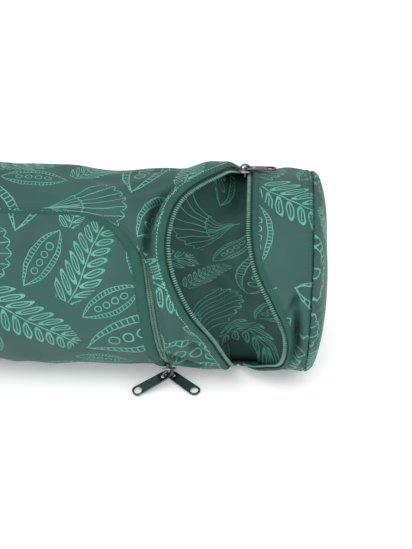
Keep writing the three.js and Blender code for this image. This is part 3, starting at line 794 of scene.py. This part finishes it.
def printed_cloth(name, shade=1.0, shift=(0.0, 0.0, 0.0)):
    shader = Shader(name)
    flat = shader.add("ShaderNodeUVMap", uv_map="place")
    flat = shader.vector("ADD", flat, shift)
    ink = drawn_print(shader, flat)
    cloudy = shader.noise(flat, 14.0, 3.0, 0.6)
    base = shader.mix(shader.ramp(cloudy, 0.3, 0.7), dimmed(DEEP_CLOTH, shade), dimmed(BASE_CLOTH, shade))
    patchy = shader.ramp(shader.noise(flat, 60.0, 2.0), 0.35, 0.65)
    mint = shader.mix(patchy, dimmed(PRINT_MINT, shade), dimmed(PRINT_PALE, shade))
    colour = shader.mix(ink * INK_COVER, base, mint)
    specks = shader.ramp(shader.noise(flat, 1500.0, 1.0), 0.25, 0.75, 0.0, 0.14)
    colour = shader.mix(specks, colour, SPECK_DARK)
    # Painted shade from the mesh's attribute, darkest at the bottom of folds and at turned-in edges
    painted_shade = shader.add("ShaderNodeAttribute", output=2, attribute_name="painted_shade")
    colour = shader.mix(shader.math("MULTIPLY", painted_shade, PAINTED_SHADE_COVER), colour, PAINTED_SHADE_COLOUR)
    normal = shader.bump(shader.noise(flat, 55.0, 4.0, 0.55), 0.5, 0.0011)
    normal = shader.bump(weave_height(shader, flat, 0.00045), 0.35, 0.00008, normal)
    return shader.finish(
        base_color=colour, roughness=shader.ramp(cloudy, 0.3, 0.7, 0.6, 0.74), normal=normal,
        specular_ior_level=0.25, sheen_weight=0.05, sheen_roughness=0.45)


def woven_tape(name, colour, second, rib=0.0009):
    """Ribbed cloth of one colour; rib is the distance between its ribs in metres."""
    shader = Shader(name)
    flat = shader.add("ShaderNodeUVMap", uv_map="place")
    along, across, _ = shader.terms(flat)
    ribs = ((along + across * 1.2) * (2 * math.pi / rib)).call("SINE")
    cross = (across * (2 * math.pi / (rib * 0.8))).call("SINE")
    cloudy = shader.noise(flat, 90.0, 3.0, 0.6)
    tone = ribs * 0.1 + shader.math("MULTIPLY", cloudy, 0.8)
    base = shader.mix(shader.ramp(tone, 0.15, 0.7), colour, second)
    return shader.finish(
        base_color=base, roughness=shader.ramp(cloudy, 0.2, 0.8, 0.68, 0.82),
        normal=shader.bump(ribs + cross * 0.5, 0.5, 0.00012), sheen_weight=0.03, specular_ior_level=0.22)


def plastic(name, colour, second, rough=(0.35, 0.5)):
    shader = Shader(name)
    place = shader.add("ShaderNodeTexCoord", output=3)
    cloudy = shader.noise(place, 240.0, 3.0, 0.6)
    fine = shader.noise(place, 2600.0, 2.0)
    base = shader.mix(shader.ramp(cloudy, 0.3, 0.7), colour, second)
    normal = shader.bump(fine, 0.25, 0.00005)
    return shader.finish(base_color=base, roughness=shader.ramp(cloudy, 0.2, 0.8, *rough), normal=normal)


def worn_metal(name):
    shader = Shader(name)
    place = shader.add("ShaderNodeTexCoord", output=3)
    cloudy = shader.noise(place, 320.0, 4.0, 0.65)
    scratches = shader.noise(shader.vector("MULTIPLY", place, (1.0, 6.0, 1.0)), 900.0, 2.0)
    edge = shader.add("ShaderNodeNewGeometry", output=7)
    worn = shader.ramp(edge, 0.52, 0.6)
    dark = shader.mix(shader.ramp(cloudy, 0.3, 0.7), srgb(52, 56, 58), srgb(84, 88, 90))
    base = shader.mix(shader.math("MULTIPLY", worn, 0.8, clamp=True), dark, srgb(168, 172, 172))
    rough = shader.ramp(shader.math("ADD", cloudy, scratches), 0.7, 1.3, 0.22, 0.42)
    normal = shader.bump(scratches, 0.25, 0.00005)
    return shader.finish(base_color=base, roughness=rough, normal=normal, metallic=0.92)


BODY_CLOTH = printed_cloth("body_print")
FLAP_CLOTH = printed_cloth("flap_print", shift=(0.083, 0.041, 0.0))
END_CLOTH = printed_cloth("end_print", shift=(0.121, -0.06, 0.0))
CAP_CLOTH = printed_cloth("cap_print", shift=(0.02, 0.09, 0.0))
# The pocket's lining is the same print dimmed to 0.8, as painted shade inside the pocket
INNER_CLOTH = printed_cloth("inner_print_painted_shade", 0.8, shift=(0.15, 0.11, 0.0))
TAPE = woven_tape("plain_tape", srgb(24, 56, 49), srgb(34, 70, 61))
WELT = woven_tape("welt_cloth", srgb(31, 72, 63), srgb(43, 88, 77), 0.0006)
COIL = plastic("coil", srgb(66, 110, 96), srgb(100, 146, 130))
# The coil's core is dark as painted shade between the coil's turns
SHADED_CORE = plastic("coil_core_painted_shade", srgb(24, 44, 40), srgb(34, 58, 52), (0.5, 0.65))
THREAD = plastic("mint_thread", srgb(104, 180, 158), srgb(126, 196, 176), (0.6, 0.75))
DARK_THREAD = plastic("dark_thread", srgb(34, 62, 56), srgb(46, 78, 70), (0.6, 0.75))
METAL = worn_metal("gunmetal")
INSERT = plastic("green_insert", srgb(30, 56, 50), srgb(40, 70, 62), (0.4, 0.55))

# Angles round the bag, closer together round the mouth
AROUND = np.unique(np.concatenate([
    np.arange(-180, -64, 2.5), np.arange(-64, 114, 1.3), np.arange(114, 180, 2.5),
    np.linspace(MOUTH_TOP - 2, MOUTH_TOP + 2, 9), np.linspace(MOUTH_LOW - 2, MOUTH_LOW + 2, 9),
]))
SEAM_HALF_GAP = 0.2


def in_mouth(angle):
    """1 in the mouth's range of angles and 0 past its ends."""
    return span(angle, (MOUTH_LOW - 1, MOUTH_LOW + 1), (MOUTH_TOP - 1, MOUTH_TOP + 1))


def in_flap_opening(x, girth):
    outline = [flap_end(side, channel_offset) for side in (-1, 1)]
    left, right = (np.interp(girth, line[:, 1], line[:, 0]) for line in outline)
    level = (girth > FLAP_LOW - GAP) & (girth < outline[0][-1, 1])
    return level & (x > left) & (x < right)


def opening_outline():
    low = flap_end(1, channel_offset)[0], flap_end(-1, channel_offset)[0]
    bottom = np.stack([np.linspace(low[0][0], low[1][0], 400), np.full(400, FLAP_LOW - GAP)], axis=-1)
    return np.concatenate([flap_line(channel_offset, 600), bottom])


def snapped(x, angle, keep):
    """Moves the grid's places beside the removed cells onto the opening's outline."""
    rows, columns = x.shape
    touched = np.zeros((rows, columns, 2), bool)
    for i in (0, 1):
        for j in (0, 1):
            for state in (0, 1):
                cell = keep if state else ~keep
                touched[i:rows - 1 + i, :, state] |= np.roll(cell, j, axis=1)
    edge = touched.all(axis=-1)
    outline = opening_outline()
    outline = np.concatenate([
        np.linspace(a, b, 6)[:-1] for a, b in zip(outline, np.roll(outline, -1, axis=0))])
    flat = np.stack([x[edge], angle[edge] * DEG * END_RADIUS], axis=-1)
    distance = ((flat[:, None] - outline[None]) ** 2).sum(axis=-1)
    nearest = outline[distance.argmin(axis=1)]
    x, angle = x.copy(), angle.copy()
    x[edge] = nearest[:, 0]
    angle[edge] = nearest[:, 1] / END_RADIUS / DEG
    return x, angle


def hem_drop(distance):
    """How far cloth turns down towards its edge, from the distance to it."""
    return -HEM_TURN * np.exp(-((np.maximum(distance, 0) / HEM_REACH) ** 2))


def graded(*stretches):
    """Shares from 0 to 1 in stretches, each given as its end and its number of places."""
    parts = []
    start = 0
    for end, count in stretches:
        parts.append(np.linspace(start, end, count)[:-1])
        start = end
    return np.append(np.concatenate(parts), 1.0)


def make_body():
    shares = graded((0.7, 56), (0.985, 74), (1, 8))
    closed = POCKET_SEAM - SEAM_HALF_GAP
    edge = closed + (left_lip(AROUND) - closed) * in_mouth(AROUND)
    x = -END_X + 0.4 + (edge + END_X - 0.4) * shares[:, None]
    angle = np.broadcast_to(AROUND, x.shape).copy()
    following = np.roll(x, -1, axis=1)
    centre_x = (x[:-1] + following[:-1] + following[1:] + x[1:]) / 4
    step = np.append(np.diff(AROUND), AROUND[0] + 360 - AROUND[-1])
    centre_girth = (wrapped(AROUND + step / 2)) * DEG * END_RADIUS
    keep = ~in_flap_opening(centre_x, np.broadcast_to(centre_girth, centre_x.shape))
    x, angle = snapped(x, angle, keep)
    lift = hem_drop(edge - x) + hem_drop(x + END_X)
    cloth("body_cloth", x, angle, lift, lift - WALL, BODY_CLOTH, ring=True, keep=keep,
          replaces=["body_shell"], slot="printed_cloth")


def make_end_panel():
    closed = POCKET_SEAM + SEAM_HALF_GAP
    edge = closed + (right_lip(AROUND) - closed) * in_mouth(AROUND)
    shares = graded((0.06, 5), (0.94, 30), (1, 5))
    x = edge + (END_X - 0.2 - edge) * shares[:, None]
    lift = hem_drop(x - edge) + hem_drop(END_X - x)
    cloth("end_panel_cloth", x, AROUND, lift, lift - WALL, END_CLOTH, ring=True,
          replaces=["end_panel"], slot="printed_cloth")


def make_cap(side, name, node):
    """A domed end, its seam turned in where it meets the tube."""
    turned_edge = [0.985, 0.995, 1.0, 0.997, 0.985]
    shares = np.concatenate([turned_edge, np.linspace(0.97, 0.75, 12), np.linspace(0.7, 0, 15)])
    rise = DOME_RISE * np.sqrt(1 - np.minimum(shares, CAP_RIM) ** 3)
    rise[:3] = [0, 0.15, 0.6]
    rise[3:5] = np.maximum(rise[3:5], [1.4, 2.6])
    angle = np.arange(-180, 180, 1.25)
    rim = surface(side * END_X, angle, 0)
    near_rim = np.exp(-((shares - 0.95) / 0.06) ** 2)[:, None]
    pucker = 0.5 * np.sin(52 * angle * DEG + 2 * np.sin(5 * angle * DEG)) * near_rim
    slack = 1.2 * np.sin(3 * angle * DEG + 1) * np.sin(math.pi * shares)[:, None]

    def ring(inset):
        scale = (shares * (1 - inset / END_RADIUS))[:, None]
        out = side * (END_X + GAP + rise[:, None] - inset + pucker + slack * 0.4)
        return np.stack(np.broadcast_arrays(out, rim[:, 1] * scale, rim[:, 2] * scale), axis=-1)

    outer, inner = ring(0.0), ring(WALL)
    inner[0, :, 0] = side * (END_X + GAP)
    points = np.concatenate([outer[::-1], inner]).reshape(-1, 3)
    rows, columns = 2 * len(shares), len(angle)
    index = np.arange(rows * columns).reshape(rows, columns)
    following = np.roll(index, -1, axis=1)
    faces = np.stack([index[:-1], following[:-1], following[1:], index[1:]], axis=-1).reshape(-1, 4)
    uv = points[:, 1:][faces] * MM
    cap = add_mesh(name, points, faces, uv.reshape(-1, 2), CAP_CLOTH, replaces=[node], slot="printed_cloth")
    made = bmesh.new()
    made.from_mesh(cap.data)
    bmesh.ops.remove_doubles(made, verts=made.verts, dist=1e-6)
    made.to_mesh(cap.data)
    made.free()


def make_flap():
    left, right = (flap_end(side, lambda t: -GAP) for side in (-1, 1))
    share = 1 - np.linspace(1, 0, 120) ** 1.25
    x = left[:, :1] + (right[:, :1] - left[:, :1]) * share
    angle = np.broadcast_to(left[:, 1:] / END_RADIUS / DEG, x.shape)
    cloth("flap_cloth", x, angle, 0.0, -WALL, FLAP_CLOTH, replaces=["flap_panel"], slot="printed_cloth")


def make_pocket_back():
    """The inner panel, which hangs as a soft bowl behind the mouth."""
    margin = POCKET_MARGIN / END_RADIUS / DEG
    angle = np.linspace(MOUTH_TOP + margin, MOUTH_LOW - margin, 90)[:, None]
    down = np.linspace(0, 1, 90)[:, None]
    over = np.linspace(0, 1, 56)
    bowl = np.maximum(np.sin(math.pi * down), 0) ** 0.55 * np.maximum(np.sin(math.pi * over), 0) ** 0.55
    start = left_lip(angle) - POCKET_MARGIN
    end = np.minimum(right_lip(angle) + POCKET_MARGIN, END_X - 2)
    x = start + (end - start) * over
    sewn = np.maximum(smoothstep(0.9, 1, over), smoothstep(0.95, 1, down))
    seat = LINING_DEEP + (LINING_SEWN - LINING_DEEP) * sewn
    folds = np.sin(over * 19 + 5 * down + 2 * np.sin(down * 9)) * 1.4 + np.sin(down * 31 + over * 6) * 0.8
    lift = seat - bowl * (POCKET_DEPTH + hood_form(x, wrapped(angle)) - folds)
    cloth("pocket_lining", x, angle, lift, lift - WALL, INNER_CLOTH,
          replaces=["pocket_back"], slot="inner_cloth")


# Places across a band, and a round rise over them
BAND = np.linspace(0, 1, 9)
ROUND = np.sin(math.pi * BAND)


def narrowing(line, most):
    """1 along the middle of the flap's edge, and less by up to most towards its two hinge ends."""
    reach = distances(line)
    from_hinge = np.minimum(reach, reach[-1] - reach)
    return 1 - most * smoothstep(*NARROW_SPAN, from_hinge)


def make_flap_zip():
    """The round welt on the flap's edge, the closed coil beside it and the tape that the hem covers."""
    shut = flap_line(lambda t: 0.0)
    taper = narrowing(shut, 0.72)
    bulge = 0.3 + WELT_THICK * ROUND ** 0.45 * taper[:, None]
    ribbon("flap_welt_band", shut, GAP - WELT_WIDTH * BAND, bulge, 0.1, WELT, share=taper,
           replaces=["flap_welt", "flap_welt_left"], slot="plain_tape")
    ribbon("flap_tape_band", shut, GAP + COIL_SPAN + FLAP_TAPE_WIDTH * BAND, ZIP_LIFT - 0.4 + 0.2 * ROUND,
           ZIP_LIFT - 1.4, TAPE, replaces=["flap_zip_tape"], slot="plain_tape")
    origins, axes = [], []
    for row, lean in ((0.27, 0.5), (0.75, -0.5)):
        places, frames = line_frames(moved(shut, GAP + COIL_SPAN * row), 1.5, COIL_LIFT + 0.15)
        origins.append(places)
        axes.append(across_line(frames, lean))
    turn_of_coil = bead(COIL_SPAN * 0.27, 0.52, 0.6)
    repeated("flap_coil", turn_of_coil, np.concatenate(origins), np.concatenate(axes), COIL,
             replaces=["flap_zip_teeth"])
    # The core under the coil is dark, as painted shade in the gaps between its turns
    core = GAP + COIL_SPAN * BAND
    ribbon("flap_coil_core", shut, core, COIL_LIFT, ZIP_LIFT - 1.0, SHADED_CORE, slot="zip_coil")


def make_lip(side, lip, sign):
    """One lip of the pocket: the tape under it, the opened coil and the plain binding on its edge."""
    line = lip_line(lip)
    offsets = sign * (-LIP_TAPE_IN + (LIP_TAPE_IN + LIP_TAPE_OUT) * BAND)
    ribbon(f"pocket_tape_band_{side}", line, offsets, -2.3 - 0.5 * BAND, -3.4, TAPE,
           replaces=[f"pocket_tape_{side}"], slot="plain_tape")
    places, frames = line_frames(moved(line, sign * (LIP_TAPE_OUT - 0.2)), LIP_COIL_PITCH, -2.6)
    turn_of_coil = bead(1.7, LIP_COIL_PITCH * 0.36, 0.95)
    repeated(f"pocket_coil_{side}", turn_of_coil, places, across_line(frames), COIL,
             replaces=[f"pocket_teeth_{side}"])
    offsets = sign * (0.3 - LIP_BINDING * BAND)
    roll = 0.15 + 0.75 * ROUND ** 0.6
    ribbon(f"pocket_binding_{side}", line, offsets, roll, -1.4, WELT, slot="plain_tape")


def stitches(name, line, lift, pitch, thread, width):
    origins, axes = line_frames(line, pitch, lift)
    repeated(name, bead(pitch * 0.36, width, width * 0.8), origins, axes, thread)


def make_stitches():
    left, right = (lip_line(lip, *LIP_STITCH_SPAN) for lip in (left_lip, right_lip))
    stitches("stitches_left_lip", moved(left, -4.8), 0.1, 2.4, THREAD, 0.28)
    stitches("stitches_right_lip", moved(right, 4.4), 0.0, 2.2, DARK_THREAD, 0.3)
    stitches("stitches_hem", moved(flap_line(channel_offset), 2.6), 0.1, 2.8, DARK_THREAD, 0.3)
    for name, x in (("right", END_X - 3.2), ("left", -END_X + 3.2)):
        angle = np.linspace(-85, 265, 700)
        ring = np.stack([np.full(len(angle), x), angle * DEG * END_RADIUS], axis=-1)
        stitches(f"stitches_seam_{name}", ring, 0.1, 3.0, DARK_THREAD, 0.3)


def make_hem():
    """The body's folded edge, which reaches over the tape beside the flap's zip."""
    line = flap_line(channel_offset)
    profile = 0.15 + 0.7 * ROUND ** 0.6 - 0.5 * BAND ** 3
    ribbon("opening_hem", line, 0.4 - 2.0 * BAND, profile, -1.2, BODY_CLOTH, share=narrowing(line, 0.65),
           slot="printed_cloth")


make_body()
make_end_panel()
make_cap(1, "cap_cloth_right", "end_cap_right")
make_cap(-1, "cap_cloth_left", "end_cap_left")
make_flap()
make_pocket_back()
make_flap_zip()
make_lip("left", left_lip, 1)
make_lip("right", right_lip, -1)
make_hem()
make_stitches()

# Zip heads


def rounded_outline(x0, x1, half_width, corner, steps=8):
    """A rectangle about the x axis with round corners."""
    corners = [(x1 - corner, -half_width + corner, -90), (x1 - corner, half_width - corner, 0),
               (x0 + corner, half_width - corner, 90), (x0 + corner, -half_width + corner, 180)]
    points = []
    for cx, cy, start in corners:
        for k in range(steps + 1):
            turn = (start + 90 * k / steps) * DEG
            points.append((cx + corner * math.cos(turn), cy + corner * math.sin(turn)))
    return points


def arc_points(middle, radius, start, end):
    """Points every 10 degrees along a part of a circle with its middle on the x axis."""
    turns = [angle * DEG for angle in range(start, end + 1, 10)]
    return [(middle + radius * math.cos(turn), radius * math.sin(turn)) for turn in turns]


def plate(outlines, thickness, bevel=0.28):
    """A flat plate with rounded edges, in millimetres; outlines after the first are holes."""
    curve = bpy.data.curves.new("plate", "CURVE")
    curve.dimensions = "2D"
    curve.fill_mode = "BOTH"
    curve.extrude = thickness / 2 - bevel
    curve.bevel_depth = bevel
    curve.bevel_resolution = 2
    curve.offset = -bevel
    for outline in outlines:
        spline = curve.splines.new("POLY")
        spline.points.add(len(outline) - 1)
        spline.use_cyclic_u = True
        for point, (x, y) in zip(spline.points, outline):
            point.co = (x, y, 0, 1)
    holder = bpy.data.objects.new("plate", curve)
    bpy.context.scene.collection.objects.link(holder)
    bpy.context.view_layer.update()
    mesh = bpy.data.meshes.new_from_object(holder.evaluated_get(bpy.context.evaluated_depsgraph_get()))
    bpy.data.objects.remove(holder)
    bpy.data.curves.remove(curve)
    return mesh


def placed_mesh(mesh, x_axis, y_axis, z_axis, origin):
    """Puts a mesh in millimetres at an origin in the frame, in metres."""
    turn = Matrix((x_axis, y_axis, z_axis)).transposed().to_4x4()
    mesh.transform(Matrix.Translation(origin) @ turn @ Matrix.Scale(MM, 4))
    return mesh


def hard_piece(name, meshes, material, body, replaces):
    whole = bmesh.new()
    for mesh in meshes:
        whole.from_mesh(mesh)
    bmesh.ops.remove_doubles(whole, verts=whole.verts, dist=2e-6)
    joined = bpy.data.meshes.new(name)
    whole.to_mesh(joined)
    whole.free()
    piece = finish_piece(name, joined, material, body, replaces)
    normals = piece.modifiers.new("normals", "WEIGHTED_NORMAL")
    normals.keep_sharp = True


def widening(outline, length):
    """A pull is a little wider at its free end than at its eye."""
    return [(x, y * (0.88 + 0.16 * x / length)) for x, y in outline]


def pull_outlines(length):
    """The frame with its eye and its long gap, which ends in a round hole, and the insert that fills
    the rest of the gap."""
    half = PULL_WIDTH / 2
    middle, hole = length - half, half - PULL_RIM
    window_from = ARCH_OUTER + 3 * PULL_RIM
    frame_line = rounded_outline(-EYE_BAR / 2, length, half, half * 0.9, 12)
    eye = rounded_outline(EYE_BAR / 2, ARCH_OUTER + PULL_RIM, 1.9, 1.2)
    gap = [*arc_points(middle, hole, -90, 90), (window_from, hole), (window_from, -hole)]
    concave = arc_points(middle, hole - 0.1, 120, 240)
    side = hole + 0.15
    insert = [(window_from - 0.15, -side), (middle - 0.8, -side), *reversed(concave), (middle - 0.8, side),
              (window_from - 0.15, side)]
    return [widening(line, length) for line in (frame_line, eye, gap)], widening(insert, length)


def make_pull(joint, name, length):
    body = joint["child"]
    pivot = Vector(joint["pos_m"])
    low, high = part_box(f"{name}_insert")
    towards = ((low + high) / 2 - pivot).normalized()
    hinge = Vector(joint["axis"]).normalized()
    up = towards.cross(hinge)
    frame_lines, insert = pull_outlines(length)
    placed = placed_mesh(plate(frame_lines, PULL_THICK), towards, hinge, up, pivot)
    hard_piece(f"{name}_frame", [placed], METAL, body, [name])
    filling = placed_mesh(plate([insert], PULL_THICK - 0.3, 0.2), towards, hinge, up, pivot)
    hard_piece(f"{name}_filling", [filling], INSERT, body, [f"{name}_insert"])


def make_slider(joint, name, zip_way, clear):
    """The slider under a pull: a plate shaped like a shield, a keel and the arch that holds the pull."""
    pivot = Vector(joint["pos_m"])
    axis_point = Vector((pivot.x, AXIS_Y * MM, FLOOR_Z * MM))
    normal = (pivot - axis_point).normalized()
    along = (zip_way - normal * zip_way.dot(normal)).normalized()
    across = normal.cross(along)
    height = math.hypot(EYE_BAR, PULL_THICK) / 2 + clear
    hinge = Vector(joint["axis"]).normalized()
    arch_up = (normal - hinge * normal.dot(hinge)).normalized()
    foot = -(height + SLIDER_THICK / 2)
    turns = [math.pi * k / 16 for k in range(17)]
    outer = [(ARCH_OUTER * math.cos(turn), 0.8 * ARCH_OUTER * math.sin(turn)) for turn in turns]
    inner = [(ARCH_INNER * math.cos(turn), 0.72 * ARCH_INNER * math.sin(turn)) for turn in reversed(turns)]
    bridge = [(ARCH_OUTER, foot), *outer, (-ARCH_OUTER, foot),
              (-ARCH_INNER, foot), *inner, (ARCH_INNER, foot)]
    shield = SHIELD_SIDE + [(x, -y) for x, y in reversed(SHIELD_SIDE)]
    keel = rounded_outline(-3.3, 3.3, 0.9, 0.6)
    seat = pivot - normal * (height + SLIDER_THICK / 2) * MM
    below = seat - normal * KEEL_DROP * MM
    parts = [
        placed_mesh(plate([shield], SLIDER_THICK, 0.45), along, across, normal, seat),
        placed_mesh(plate([bridge], 2.2, 0.35), arch_up.cross(hinge), arch_up, hinge, pivot),
        placed_mesh(plate([keel], 4.0, 0.2), along, across, normal, below),
    ]
    hard_piece(f"{name}_head", parts, METAL, "bag", [name])


# Each pull's slider, its own length, and the room between its eye bar and the slider
HEADS = {
    "flap_pull_left": ("flap_slider_left", 31, 1.8),
    "flap_pull_right": ("flap_slider_right", 31, 1.8),
    "pocket_pull": ("pocket_slider", 24, 0.3),
}
for joint in frame["joints"]:
    pull = joint["child"]
    slider, length, clear = HEADS[pull]
    pivot_y = joint["pos_m"][1] / MM - AXIS_Y
    pivot_z = joint["pos_m"][2] / MM - FLOOR_Z
    turn = math.atan2(pivot_z, -pivot_y)
    slant = FLAP_SLANT if pull != "pocket_pull" else 0.0
    way = Vector((math.sin(slant), -math.cos(slant) * math.sin(turn), -math.cos(slant) * math.cos(turn)))
    make_pull(joint, pull, length)
    make_slider(joint, slider, way, clear)

# Stage

floor_mesh = bpy.data.meshes.new("floor")
floor_mesh.from_pydata([(-6, -6, 0), (6, -6, 0), (6, 6, 0), (-6, 6, 0)], [], [(0, 1, 2, 3)])
pale = Shader("pale_floor")
soft_grain = pale.noise(pale.add("ShaderNodeTexCoord", output=3), 3.0)
floor_mesh.materials.append(pale.finish(
    base_color=pale.mix(soft_grain, (0.9, 0.9, 0.9, 1.0), (0.93, 0.93, 0.93, 1.0)), roughness=0.85,
    emission_color=(1.0, 1.0, 1.0, 1.0), emission_strength=0.22))
floor = bpy.data.objects.new("floor", floor_mesh)
bpy.context.scene.collection.objects.link(floor)

world = bpy.data.worlds.new("studio")
world.use_nodes = True
background = world.node_tree.nodes["Background"]
background.inputs["Color"].default_value = (1.0, 1.0, 1.0, 1.0)
background.inputs["Strength"].default_value = 0.84
bpy.context.scene.world = world


def soft_light(name, place, aim, size, power):
    data = bpy.data.lights.new(name, "AREA")
    data.shape = "RECTANGLE"
    data.size, data.size_y = size
    data.energy = power
    light = bpy.data.objects.new(name, data)
    light.location = place
    light.rotation_euler = (Vector(aim) - Vector(place)).to_track_quat("-Z", "Y").to_euler()
    bpy.context.scene.collection.objects.link(light)


soft_light("key", (-0.35, -0.9, 1.8), (0.2, 0, 0.05), (1.9, 1.3), 24)
soft_light("fill", (1.5, -0.5, 1.0), (0.25, 0, 0.08), (0.9, 0.9), 6)
soft_light("front", (0.15, -1.6, 0.4), (0.15, 0, 0.0), (2.4, 0.5), 4)

# Camera at the photograph's viewing angle

YAW = 1.6 * DEG
ROLL = 1.1 * DEG
ELEVATION = 35 * DEG
DISTANCE = 1.0
FOCAL_PIXELS = 1255
PHOTO_HEIGHT = 549
AIM_X = 0.2447
AIM_DROP = 0.0053

right = Vector((math.cos(YAW), math.sin(YAW), 0))
away = Vector((-math.sin(YAW), math.cos(YAW), 0))
up = away * math.sin(ELEVATION) + Vector((0, 0, math.cos(ELEVATION)))
back = right.cross(up)
rolled_right = right * math.cos(ROLL) + up * math.sin(ROLL)
rolled_up = up * math.cos(ROLL) - right * math.sin(ROLL)
aim = Vector((AIM_X, AXIS_Y * MM, FLOOR_Z * MM)) - rolled_up * AIM_DROP
camera_data = bpy.data.cameras.new("camera")
camera_data.sensor_width = 36
camera_data.lens = camera_data.sensor_width * FOCAL_PIXELS / PHOTO_HEIGHT
camera = bpy.data.objects.new("camera", camera_data)
turned = Matrix((rolled_right, rolled_up, back)).transposed().to_4x4()
camera.matrix_world = Matrix.Translation(aim + back * DISTANCE) @ turned
bpy.context.scene.collection.objects.link(camera)
bpy.context.scene.camera = camera
bpy.context.scene.view_settings.view_transform = "Standard"
